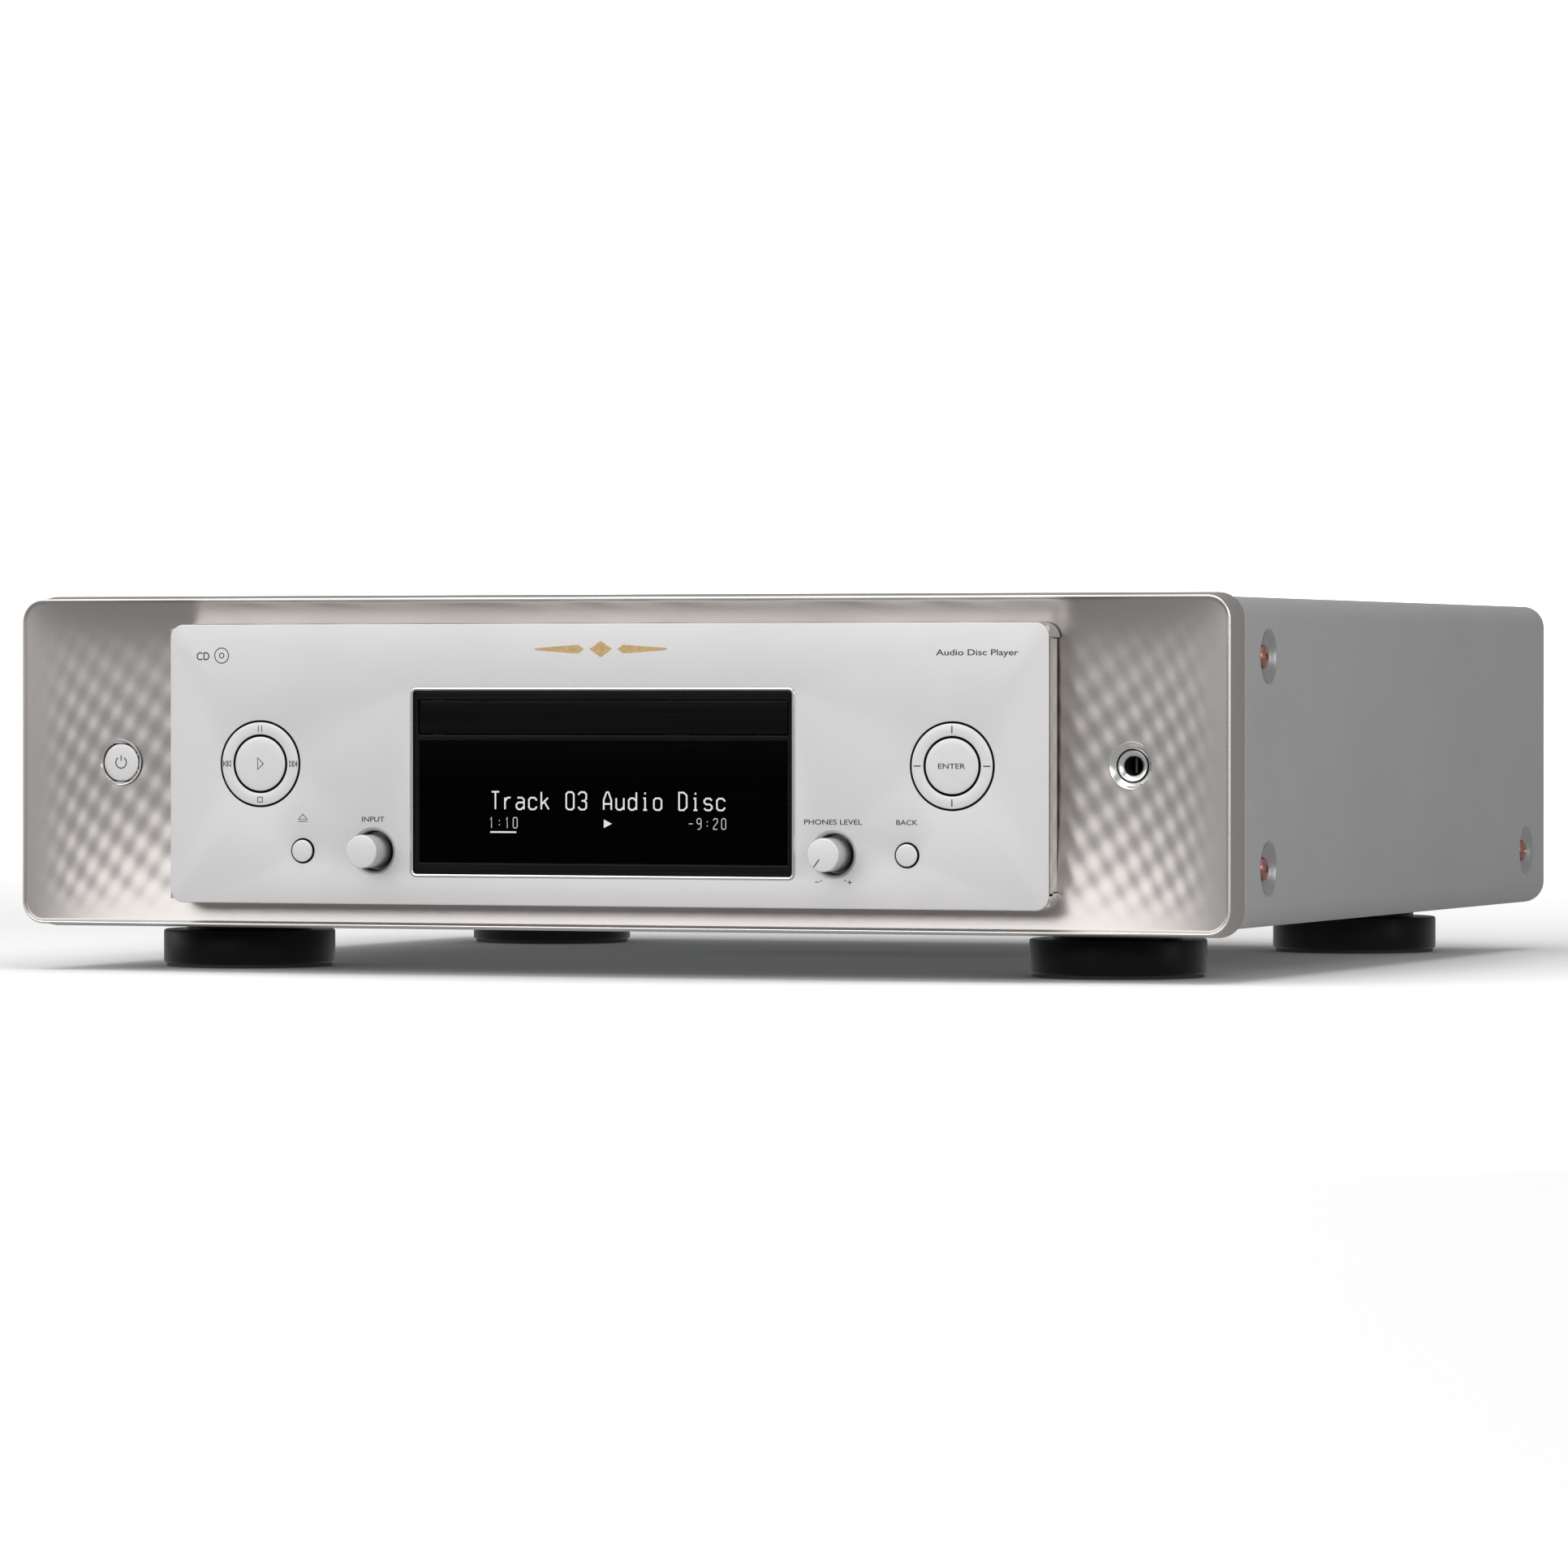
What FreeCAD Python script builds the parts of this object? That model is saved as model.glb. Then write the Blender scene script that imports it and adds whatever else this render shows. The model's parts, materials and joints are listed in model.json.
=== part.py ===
"""Full-width compact disc player: moulded front with a raised centre plate, tray loader, steel case.

Millimetres. The origin is at the middle of the footprint on the floor. +X is to the right seen
from the front, the front faces -Y, +Z is up. Every function returns the solids of one named piece.
"""
import FreeCAD, Part
import math
import os

V = FreeCAD.Vector
X_AXIS = V(1, 0, 0)
Y_AXIS = V(0, 1, 0)
Z_AXIS = V(0, 0, 1)

# Overall size
WIDTH = 442.0
HEIGHT = 130.0
DEPTH = 424.0
FRONT_TIP_Y = -DEPTH / 2
BACK_TIP_Y = DEPTH / 2

# Front panel and centre plate
RIM_Y = -193.5                 # front edge of the moulded panel's rim
PANEL_DEPTH = 13.0
PANEL_BACK_Y = RIM_Y + PANEL_DEPTH
PANEL_LOW_Z = 15.1
RIM_TAPER = 1.5                # the rim is this much smaller at the front than at the back
PANEL_CORNER_R = 9.0
RIM_LIP = 0.8                  # flat edge round the panel's dished front
RIM_SLOPE = 5.0                # distance from the outline to the flat of the wings
WING_DEPTH = 4.0               # how far the wings lie behind the rim
WING_Y = RIM_Y + WING_DEPTH
PANEL_WALL = 3.5
PANEL_OPENING = (-150.0, 150.0, 32.0, 112.0)    # opening behind the plate: x0, x1, z0, z1
PLATE_Y = RIM_Y - 8.0          # front face of the centre plate
PLATE_HALF_W = 159.6
PLATE_LOW_Z = 24.15
PLATE_TOP_Z = 119.9
PLATE_CORNER_R = 4.8
PLATE_FACE = 4.0               # thickness of the plate's face
PLATE_DEPTH = 12.0
PLATE_BACK_Y = PLATE_Y + PLATE_DEPTH
PLATE_INNER_Y = PLATE_Y + PLATE_FACE
GROOVE_X = PLATE_HALF_W - 1.6  # floor of the groove for the light in the plate's side walls
GROOVE_Y = PLATE_Y + 1.2
GROOVE_LOW_Z = 29.8
GROOVE_TOP_Z = 115.0
GUIDE_PLATE_T = 1.0

# Window with the tray door above the display
TRIM_HALF_W = 69.9
TRIM_LOW_Z = 33.6
TRIM_TOP_Z = 98.3
TRIM_WALL = 1.4
TRIM_CORNER_R = 2.2
TRIM_Y = PLATE_Y - 0.3
SURROUND_Y = PLATE_Y + 0.9
SURROUND_T = 4.0
GLASS_Y = PLATE_Y + 1.4        # front faces of the tray door and the display's front
DOOR_HALF_W = 67.4             # opening for the tray door
DOOR_LOW_Z = 82.1
DOOR_TOP_Z = 94.1
DOOR_GAP = 0.35
SCREEN_HALF_W = 67.1
SCREEN_LOW_Z = 38.4
SCREEN_TOP_Z = 80.5

# Controls on the plate
RING_X = 125.7
RING_Z = 72.05
RING_HOLE_R = 14.95
RING_R = 14.5
RING_INNER_R = 9.9
RING_PROUD = 0.2
RING_BACK_Y = PLATE_Y + 3.0
RING_PIVOT_Y = PLATE_Y + 6.3
RING_TICK_R = 12.25            # middle of the ring's face, where its switches are
SLEEVE_R = 13.5
SLEEVE_INNER_R = 11.0
GIMBAL_R = 17.0
GIMBAL_INNER_R = 14.3
HOUSING_R = 20.5
HOUSING_INNER_R = 18.0
HOUSING_DEPTH = 7.5
CENTRE_R = 9.4
CENTRE_PROUD = 0.4
KEY_X = 109.8
KEY_Z = 42.25
KEY_HOLE_R = 4.32
KEY_R = 3.95
KEY_PROUD = 0.9
KEY_STEM_R = 2.0
KNOB_X = 83.6
KNOB_Z = 42.35
KNOB_R = 5.65
CUP_R = 8.15
CUP_DEPTH = 3.0
BUSH_R = 3.7
SHAFT_R = 3.0
POINTER_ANGLE = 232.0          # degrees from +X to the engraved pointer at rest
BUTTON_EDGE_R = 0.4
PIN_R = 0.8
PIN_PLAY = 0.08                # radial play of a pin in its hole
STEM_END_Y = -187.0            # back ends of the push buttons' stems
SWITCH_Y = STEM_END_Y + 1.3
BOARD_Y = -183.2               # front face of the control boards

# Controls on the wings
WING_CTRL_X = 184.3
WING_CTRL_Z = 72.2
BEZEL_R = 8.0
BEZEL_Y = WING_Y - 1.4
POWER_R = 6.5
POWER_GAP = 0.45
POWER_STEM_R = 2.5
JACK_NOSE_R = 5.6
JACK_BORE_R = 3.2
JACK_BORE_L = 30.0

# Case
SHEET = 1.2
COVER_HALF_W = 220.7
COVER_LOW_Z = 17.65
COVER_TOP_Z = 128.6
COVER_R = 8.0
COVER_BACK_Y = 204.0
LIP_X = 208.0                  # inner edge of the cover's turned-in lower lips
BASE_LOW_Z = 18.9
BASE_T = 1.6
BASE_TOP_Z = BASE_LOW_Z + BASE_T
BASE_HALF_W = 213.0
FLANGE_X = 216.4               # outer face of the front frame's side flanges
REAR_Y = 201.0
REAR_TOP_Z = 127.2
FLANGE_T = 1.4
VENT_PITCH_X = 15.0
VENT_PITCH_Y = 12.0
VENT_SIZE = (9.0, 4.0)
DIMPLE_R = 9.8
DIMPLE_FLOOR_R = 6.4
DIMPLE_DEPTH = 3.0
SCREW_PLACES = ((-152.0, 108.5), (-152.0, 37.5), (179.0, 37.5))    # (y, z) on each side
HEAD_R = 3.95
HEAD_T = 2.4
SCREW_R = 1.95
SCREW_HOLE_R = 2.0
CROSS_HALF_W = 0.5
CROSS_HALF_L = 2.2

# Feet
FOOT_X = 161.1
FOOT_YS = (-131.3, 154.6)
FOOT_R = 30.2
FOOT_LOW_Z = 1.3
FOOT_TOP_Z = 13.15
NECK_R = 22.0
FOOT_WELL_R = 9.0              # screw well bored from below
FOOT_WELL_TOP_Z = 9.0

# Rear sockets
# Places are (x, z); x runs to the right seen from the front. Block sockets add half width,
# half height and how far the shell stands out of the panel.
INLET_X = -178.0
INLET_Z = 46.0
INLET_HALF_W = 14.0
INLET_HALF_H = 10.0
INLET_FLANGE = 3.0             # how far the flange overlaps the panel
INLET_PROUD = 2.6
RCA_R = 4.15
MINI_NOSE_R = 3.5
AERIAL_R = 3.1
RCA_LENGTH = 8.6
RCA_PLACES = [(x, z) for x in (150.0, 172.0) for z in (64.0, 84.0)] + [(112.0, 44.0), (112.0, 64.0)]
MINI_PLACES = [(84.0, 44.0), (84.0, 64.0), (84.0, 84.0)]
AERIAL_PLACES = [(-196.0, 108.0), (196.0, 108.0)]
HDMI = (-8.0, 44.0, 8.0, 3.4, 1.2)
USB = (-44.0, 44.0, 7.4, 3.7, 1.2)
ETHERNET = (-80.0, 46.0, 8.2, 7.2, 1.2)
OPTICAL_IN = (30.0, 44.0, 5.0, 5.0, 2.0)
OPTICAL_OUT = (52.0, 44.0, 5.0, 5.0, 2.0)
BLOCK_SOCKETS = [HDMI, USB, ETHERNET, OPTICAL_IN, OPTICAL_OUT]
PANEL_SCREWS = [(x, z) for x in (-205.0, -120.0, -62.0, 8.0, 66.0, 128.0, 205.0) for z in (27.0, 120.0)]
PANEL_SCREWS += [(161.0, 74.0), (98.0, 54.0)]
SOCKET_FLAT_Y = REAR_Y + SHEET

# Circuits: boards are (x0, x1, y0, y1), all at one height on standoffs
BOARD_LOW_Z = 30.0
BOARD_T = 1.6
BOARD_TOP_Z = BOARD_LOW_Z + BOARD_T
POWER_BOARD = (-205.0, -85.0, 20.0, 180.0)
MAIN_BOARD = (-75.0, 75.0, 60.0, 188.0)
SOUND_BOARD = (85.0, 205.0, -60.0, 188.0)
BOARDS = (POWER_BOARD, MAIN_BOARD, SOUND_BOARD)
SHIELD = (95.0, 195.0, -50.0, 20.0)
SHIELD_H = 24.0
SHIELD_T = 1.0
TOROID_X = -145.0
TOROID_Y = -75.0
TOROID_R = 47.0
TOROID_H = 40.0
TOROID_BORE_R = 14.0

# Disc loader
DISC_Y = -121.0                # spindle axis
TRAY_HALF_W = 64.5
TRAY_FRONT_Y = PLATE_Y + 4.5
TRAY_BACK_Y = -6.0
TRAY_LOW_Z = 83.5
TRAY_TOP_Z = 92.5
TRAY_DECK_Z = 88.0             # underside of the tray's deck
WELL_R = 61.0
SMALL_WELL_R = 41.0
WELL_FLOOR_Z = 90.2
SLOT_HALF_W = 22.0
FRAME_IN_X = 65.2
FRAME_WALL = 3.0
FRAME_FRONT_Y = -176.0
FRAME_BACK_Y = 18.0
FRAME_LOW_Z = 58.0
BRIDGE_Z = 95.5
BRIDGE_T = 1.5
BRACKET_T = 1.5

# Gear train of the loader: pressure angle, heights of teeth in modules, sizes and places
PRESSURE = math.radians(20.0)
ADDENDUM = 0.9
DEDENDUM = 1.25
RACK_MODULE = 1.0
RACK_GEAR_TEETH = 24
GEAR_MODULE = 0.8
WHEEL_TEETH = 36
PINION_TEETH = 16
DRIVE_X = -47.5
DRIVE_Y = -158.0
PULLEY_X = DRIVE_X + GEAR_MODULE * (WHEEL_TEETH + PINION_TEETH) / 2
PULLEY_R = 10.0
MOTOR_X = 12.0
MOTOR_PULLEY_R = 3.0
BELT_T = 0.8
BELT_LOW_Z = 75.9
BELT_TOP_Z = 78.1
BACKLASH = 0.25
POST_R = 1.5
POST_FOOT_Z = 72.0
HUB_R = 4.0
HUB_LOW_Z = 72.4
PULLEY_LOW_Z = 75.0
PULLEY_TOP_Z = 79.0
PULLEY_RIM = 1.3               # how far the belt's flanges stand out
PULLEY_RIM_T = 0.6
WHEEL_LOW_Z = 79.5
WHEEL_TOP_Z = 82.5
RACK_T = 3.5
MOTOR_SHAFT_R = 0.9

# Traverse that carries the pickup, raised at rest
HINGE_Y = 10.0
HINGE_Z = 78.5
HINGE_PIN_R = 2.0
HINGE_ARM_T = 4.0
TRAVERSE_HALF_W = 44.0
TRAVERSE_LOW_Z = 77.5
TRAVERSE_TOP_Z = 79.5
TURNTABLE_TOP_Z = 91.2
CAM_PIN_Z = 70.5
CAM_PIN_R = 1.5
CAM_PLAY = 0.35
CAM_DROP = 5.9
CAM_TRAVEL = 30.0
CAM_Y = -146.4                 # front face of the cam slider
CAM_T = 3.4
GUIDE_T = 1.6
SLED_GEAR_X = 36.5
SLED_GEAR_Y = -62.0
SLED_GEAR_TEETH = 18
SLED_MODULE = 0.6
ROD_X = 24.0
ROD_Z = 82.6
ROD_R = 1.5
ROD_FRONT_Y = -107.0
ROD_BACK_Y = -32.0
SLED_FRONT_Y = -101.0
SLED_BACK_Y = -77.0
SLED_HALF_W = 27.0
SLED_LOW_Z = 80.1
SLED_TOP_Z = 86.3
LENS_Y = -95.0
SLED_SHAFT_R = 1.0
SPINDLE_R = 1.2
HUB_CONE_R = 7.3


# Small shape helpers ------------------------------------------------------------------

def box(x0, x1, y0, y1, z0, z1):
    return Part.makeBox(x1 - x0, y1 - y0, z1 - z0, V(x0, y0, z0))


def cyl_x(y, z, r, x0, x1):
    return Part.makeCylinder(r, x1 - x0, V(x0, y, z), X_AXIS)


def cyl_y(x, z, r, y0, y1):
    return Part.makeCylinder(r, y1 - y0, V(x, y0, z), Y_AXIS)


def cyl_z(x, y, r, z0, z1):
    return Part.makeCylinder(r, z1 - z0, V(x, y, z0), Z_AXIS)


def ring_y(x, z, r_out, r_in, y0, y1):
    return cyl_y(x, z, r_out, y0, y1).cut(cyl_y(x, z, r_in, y0, y1))


def ring_z(x, y, r_out, r_in, z0, z1):
    return cyl_z(x, y, r_out, z0, z1).cut(cyl_z(x, y, r_in, z0, z1))


def rounded_wire(x0, x1, z0, z1, r, y):
    """Closed outline of a rectangle with round corners in the plane at y."""
    k = r * (1 - math.sqrt(0.5))
    spots = [
        (V(x0 + r, y, z0), V(x1 - r, y, z0), V(x1 - k, y, z0 + k)),
        (V(x1, y, z0 + r), V(x1, y, z1 - r), V(x1 - k, y, z1 - k)),
        (V(x1 - r, y, z1), V(x0 + r, y, z1), V(x0 + k, y, z1 - k)),
        (V(x0, y, z1 - r), V(x0, y, z0 + r), V(x0 + k, y, z0 + k)),
    ]
    edges = []
    for i, (start, end, middle) in enumerate(spots):
        following = spots[(i + 1) % len(spots)][0]
        edges.append(Part.makeLine(start, end))
        edges.append(Part.Arc(end, middle, following).toShape())
    return Part.Wire(edges)


def rounded_plate(x0, x1, z0, z1, r, y0, y1):
    face = Part.Face(rounded_wire(x0, x1, z0, z1, r, y0))
    return face.extrude(V(0, y1 - y0, 0))


def rounded_loft(front, back, y0, y1):
    """Solid between two rounded rectangles (x0, x1, z0, z1, r) at y0 and y1."""
    wires = [rounded_wire(*front, y0), rounded_wire(*back, y1)]
    return Part.makeLoft(wires, True, True)


def polygon_z(points, z0, z1):
    """Upright prism over the closed outline of (x, y) points."""
    corners = [V(x, y, z0) for x, y in points]
    face = Part.Face(Part.makePolygon(corners + corners[:1]))
    return face.extrude(V(0, 0, z1 - z0))


def polygon_y(points, y0, y1):
    """Prism along Y over the closed outline of (x, z) points."""
    corners = [V(x, y0, z) for x, z in points]
    face = Part.Face(Part.makePolygon(corners + corners[:1]))
    return face.extrude(V(0, y1 - y0, 0))


def fused(shapes):
    body = shapes[0]
    if len(shapes) > 1:
        body = body.fuse(shapes[1:])
    return body.removeSplitter()


def less(shape, cutters):
    return shape.cut(cutters)


def both_sides(make):
    """The piece made by make(side) on the left (-1) and on the right (+1)."""
    return [make(side) for side in (-1, 1)]


def mirrored(shape):
    return shape.mirror(V(0, 0, 0), X_AXIS)


# Front panel and plate ----------------------------------------------------------------

def front_panel():
    back = (-WIDTH / 2, WIDTH / 2, PANEL_LOW_Z, HEIGHT, PANEL_CORNER_R)
    rim_x = WIDTH / 2 - RIM_TAPER
    rim_low = PANEL_LOW_Z + RIM_TAPER
    rim_top = HEIGHT - RIM_TAPER
    rim = (-rim_x, rim_x, rim_low, rim_top, PANEL_CORNER_R - RIM_TAPER)
    body = rounded_loft(rim, back, RIM_Y, PANEL_BACK_Y)
    mouth_r = PANEL_CORNER_R - RIM_TAPER - RIM_LIP
    mouth = (-rim_x + RIM_LIP, rim_x - RIM_LIP, rim_low + RIM_LIP, rim_top - RIM_LIP, mouth_r)
    floor = (-rim_x + RIM_SLOPE, rim_x - RIM_SLOPE, rim_low + RIM_SLOPE, rim_top - RIM_SLOPE, 3.0)
    dish = rounded_loft(mouth, floor, RIM_Y, WING_Y)
    wall = PANEL_WALL + 1.0
    hollow = rounded_plate(-rim_x + wall, rim_x - wall, rim_low + wall, rim_top - wall, 4.0,
                           WING_Y + PANEL_WALL, PANEL_BACK_Y)
    window = rounded_plate(*PANEL_OPENING, 4.0, WING_Y, WING_Y + PANEL_WALL)
    holes = both_sides(lambda side: cyl_y(side * WING_CTRL_X, WING_CTRL_Z, BEZEL_R,
                                          WING_Y, WING_Y + PANEL_WALL))
    return less(body, [dish, hollow, window] + holes)


def fascia_plate():
    body = rounded_plate(-PLATE_HALF_W, PLATE_HALF_W, PLATE_LOW_Z, PLATE_TOP_Z, PLATE_CORNER_R,
                         PLATE_Y, PLATE_BACK_Y)
    wall = PLATE_FACE
    cutters = [
        rounded_plate(-PLATE_HALF_W + wall, PLATE_HALF_W - wall, PLATE_LOW_Z + wall,
                      PLATE_TOP_Z - wall, 3.0, PLATE_INNER_Y, PLATE_BACK_Y),
        rounded_plate(-TRIM_HALF_W, TRIM_HALF_W, TRIM_LOW_Z, TRIM_TOP_Z, TRIM_CORNER_R,
                      PLATE_Y, PLATE_INNER_Y),
    ]
    for side in (-1, 1):
        cutters.append(cyl_y(side * RING_X, RING_Z, RING_HOLE_R, PLATE_Y, PLATE_INNER_Y))
        cutters.append(cyl_y(side * KEY_X, KEY_Z, KEY_HOLE_R, PLATE_Y, PLATE_INNER_Y))
        cutters.append(cyl_y(side * KNOB_X, KNOB_Z, CUP_R, PLATE_Y, PLATE_Y + CUP_DEPTH))
        cutters.append(cyl_y(side * KNOB_X, KNOB_Z, BUSH_R + 0.1, PLATE_Y, PLATE_INNER_Y))
        groove = box(GROOVE_X, PLATE_HALF_W, GROOVE_Y, PLATE_BACK_Y, GROOVE_LOW_Z, GROOVE_TOP_Z)
        cutters.append(groove if side > 0 else mirrored(groove))
    return less(body, cutters)


def light_guides():
    """Clear strips on the floors of the grooves in the plate's side walls."""
    guide = box(GROOVE_X, GROOVE_X + GUIDE_PLATE_T, GROOVE_Y, PLATE_BACK_Y, GROOVE_LOW_Z, GROOVE_TOP_Z)
    return Part.makeCompound([guide, mirrored(guide)])


def window_trim():
    outer = rounded_plate(-TRIM_HALF_W, TRIM_HALF_W, TRIM_LOW_Z, TRIM_TOP_Z, TRIM_CORNER_R,
                          TRIM_Y, PLATE_INNER_Y)
    inner = rounded_plate(-TRIM_HALF_W + TRIM_WALL, TRIM_HALF_W - TRIM_WALL, TRIM_LOW_Z + TRIM_WALL,
                          TRIM_TOP_Z - TRIM_WALL, TRIM_CORNER_R - 1.0, TRIM_Y, PLATE_INNER_Y)
    return outer.cut(inner)


def window_surround():
    """Black frame inside the trim, open for the tray door and for the display."""
    back_y = SURROUND_Y + SURROUND_T
    body = rounded_plate(-TRIM_HALF_W + TRIM_WALL, TRIM_HALF_W - TRIM_WALL, TRIM_LOW_Z + TRIM_WALL,
                         TRIM_TOP_Z - TRIM_WALL, TRIM_CORNER_R - 1.0, SURROUND_Y, back_y)
    return less(body, [
        box(-DOOR_HALF_W, DOOR_HALF_W, SURROUND_Y, back_y, DOOR_LOW_Z, DOOR_TOP_Z),
        box(-SCREEN_HALF_W, SCREEN_HALF_W, SURROUND_Y, back_y, SCREEN_LOW_Z, SCREEN_TOP_Z),
    ])


def display_window():
    return box(-SCREEN_HALF_W, SCREEN_HALF_W, GLASS_Y, GLASS_Y + 2.0, SCREEN_LOW_Z, SCREEN_TOP_Z)


def display_module():
    """Display cell on its small circuit board, with a driver chip and a ribbon socket behind."""
    glass = box(-48.0, 48.0, PLATE_Y + 3.8, PLATE_Y + 6.2, 44.0, 74.0)
    board = box(-56.0, 56.0, PLATE_Y + 6.2, PLATE_Y + 7.8, 40.0, 78.0)
    driver = box(-14.0, 14.0, PLATE_Y + 7.8, PLATE_Y + 9.8, 52.0, 60.0)
    ribbon_socket = box(30.0, 46.0, PLATE_Y + 7.8, PLATE_Y + 11.0, 66.0, 70.0)
    return fused([glass, board, driver, ribbon_socket])


def front_bezels():
    """Bright rings round the power button and the headphone socket."""
    x, z = -WING_CTRL_X, WING_CTRL_Z
    back_y = WING_Y + PANEL_WALL
    power = ring_y(x, z, BEZEL_R, POWER_R + POWER_GAP, BEZEL_Y, back_y)
    cup = less(cyl_y(x, z, BEZEL_R, back_y, WING_Y + 5.3),
               [cyl_y(x, z, POWER_R + POWER_GAP, WING_Y, WING_Y + 4.7),
                cyl_y(x, z, POWER_STEM_R + 0.1, WING_Y, WING_Y + 6.0)])
    jack = ring_y(WING_CTRL_X, z, BEZEL_R, JACK_NOSE_R, BEZEL_Y, back_y)
    return Part.makeCompound([fused([power, cup]), jack])


def headphone_jack():
    """Quarter-inch socket: threaded nose in the bezel and a body that hangs behind the panel."""
    x, z = WING_CTRL_X, WING_CTRL_Z
    nose_y = WING_Y - 0.6
    half = 8.0
    nose = cyl_y(x, z, JACK_NOSE_R, nose_y, WING_Y + PANEL_WALL)
    body = box(x - half, x + half, WING_Y + PANEL_WALL, WING_Y + 34.0, z - half, z + half)
    bore = cyl_y(x, z, JACK_BORE_R, nose_y, nose_y + JACK_BORE_L)
    return less(fused([nose, body]), [bore])


def carriers():
    """Moulded housings behind the two ring controls and guides behind the two small buttons."""
    solids = []
    for side in (-1, 1):
        x = side * RING_X
        floor_y = PLATE_INNER_Y + HOUSING_DEPTH
        wall = ring_y(x, RING_Z, HOUSING_R, HOUSING_INNER_R, PLATE_INNER_Y, floor_y)
        floor = ring_y(x, RING_Z, HOUSING_R, SHAFT_R + 0.1, floor_y, floor_y + 1.2)
        pin_hole = cyl_x(RING_PIVOT_Y, RING_Z, PIN_R + PIN_PLAY, x - HOUSING_R - 0.5, x + HOUSING_R + 0.5)
        solids.append(less(fused([wall, floor]), [pin_hole]))
        half = 7.0
        guide = box(side * KEY_X - half, side * KEY_X + half, PLATE_INNER_Y, PLATE_INNER_Y + 6.0,
                    KEY_Z - half, KEY_Z + half)
        room = cyl_y(side * KEY_X, KEY_Z, KEY_HOLE_R, PLATE_INNER_Y, PLATE_INNER_Y + 4.5)
        stem_hole = cyl_y(side * KEY_X, KEY_Z, KEY_STEM_R + 0.1, PLATE_INNER_Y, PLATE_INNER_Y + 6.0)
        solids.append(less(guide, [room, stem_hole]))
    return Part.makeCompound(solids)


def control_boards():
    """Circuit boards behind the controls on each side of the plate and behind the power button."""
    boards = []
    for side in (-1, 1):
        board = box(KNOB_X - 9.0, RING_X + 22.0, BOARD_Y, BOARD_Y + BOARD_T, 33.5, 95.0)
        boards.append(board if side > 0 else mirrored(board))
    boards.append(box(-WING_CTRL_X - 10.0, -WING_CTRL_X + 10.0, WING_Y + 8.2, PANEL_BACK_Y,
                      WING_CTRL_Z - 8.0, WING_CTRL_Z + 8.0))
    return Part.makeCompound(boards)


def tact_switches():
    """Small switches behind every button, and four round each ring control."""
    solids = []
    for side in (-1, 1):
        places = ((side * RING_X, RING_Z), (side * KEY_X, KEY_Z))
        for x, z in places:
            housing = box(x - 3.0, x + 3.0, SWITCH_Y + 0.8, BOARD_Y, z - 3.0, z + 3.0)
            solids.append(fused([housing, cyl_y(x, z, 1.6, SWITCH_Y, SWITCH_Y + 0.8)]))
        for dx, dz in ((RING_TICK_R, 0.0), (-RING_TICK_R, 0.0), (0.0, RING_TICK_R), (0.0, -RING_TICK_R)):
            solids.append(cyl_y(side * RING_X + dx, RING_Z + dz, 1.6,
                                PLATE_INNER_Y + 4.6, PLATE_INNER_Y + HOUSING_DEPTH))
    solids.append(cyl_y(-WING_CTRL_X, WING_CTRL_Z, 2.2, WING_Y + 7.2, WING_Y + 8.2))
    return Part.makeCompound(solids)


def rotary_controls():
    """Encoder behind the input knob and potentiometer behind the level knob."""
    solids = []
    for side in (-1, 1):
        x = side * KNOB_X
        can_y = PLATE_Y + 6.5
        half = 6.0
        bush = cyl_y(x, KNOB_Z, BUSH_R, PLATE_Y + CUP_DEPTH, can_y)
        can = box(x - half, x + half, can_y, BOARD_Y, KNOB_Z - half, KNOB_Z + half)
        bore = cyl_y(x, KNOB_Z, SHAFT_R + PIN_PLAY, PLATE_Y, PLATE_Y + 12.5)
        solids.append(less(fused([bush, can]), [bore]))
    return Part.makeCompound(solids)


# Controls that move -------------------------------------------------------------------

def ring_control(side):
    """Flat ring with a sleeve behind it and two pins up and down, on which it rocks left and right."""
    x = side * RING_X
    reach = 16.0
    face = ring_y(x, RING_Z, RING_R, RING_INNER_R, PLATE_Y - RING_PROUD, RING_BACK_Y)
    sleeve = ring_y(x, RING_Z, SLEEVE_R, SLEEVE_INNER_R, RING_BACK_Y, PLATE_Y + 7.7)
    pin = cyl_z(x, RING_PIVOT_Y, PIN_R, RING_Z - reach, RING_Z + reach)
    pin = pin.cut(cyl_y(x, RING_Z, SLEEVE_INNER_R + 1.0, PLATE_Y, PLATE_BACK_Y))
    return fused([face, sleeve, pin])


def ring_gimbal(side):
    """Ring round the sleeve that rocks up and down on its own two pins."""
    x = side * RING_X
    half_t = 1.2
    reach = 19.8
    ring = ring_y(x, RING_Z, GIMBAL_R, GIMBAL_INNER_R, RING_PIVOT_Y - half_t, RING_PIVOT_Y + half_t)
    holes = cyl_z(x, RING_PIVOT_Y, PIN_R + PIN_PLAY, RING_Z - GIMBAL_R - 1.0, RING_Z + GIMBAL_R + 1.0)
    ring = ring.cut(holes)
    pins = cyl_x(RING_PIVOT_Y, RING_Z, PIN_R, x - reach, x + reach)
    pins = pins.cut(cyl_y(x, RING_Z, GIMBAL_INNER_R + 0.7, PLATE_Y, PLATE_BACK_Y))
    return fused([ring, pins])


def centre_button(side):
    return push_button(side * RING_X, RING_Z, CENTRE_R, CENTRE_PROUD, 3.0, SHAFT_R)


def key_button(side):
    return push_button(side * KEY_X, KEY_Z, KEY_R, KEY_PROUD, 4.0, KEY_STEM_R)


def push_button(x, z, radius, proud, head_depth, stem_r):
    """Round button with a broken front edge and a stem behind it."""
    head = cyl_y(x, z, radius, PLATE_Y - proud, PLATE_Y + head_depth)
    head = head.makeFillet(BUTTON_EDGE_R, front_edges(head))
    return fused([head, cyl_y(x, z, stem_r, PLATE_Y + head_depth, STEM_END_Y)])


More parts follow.
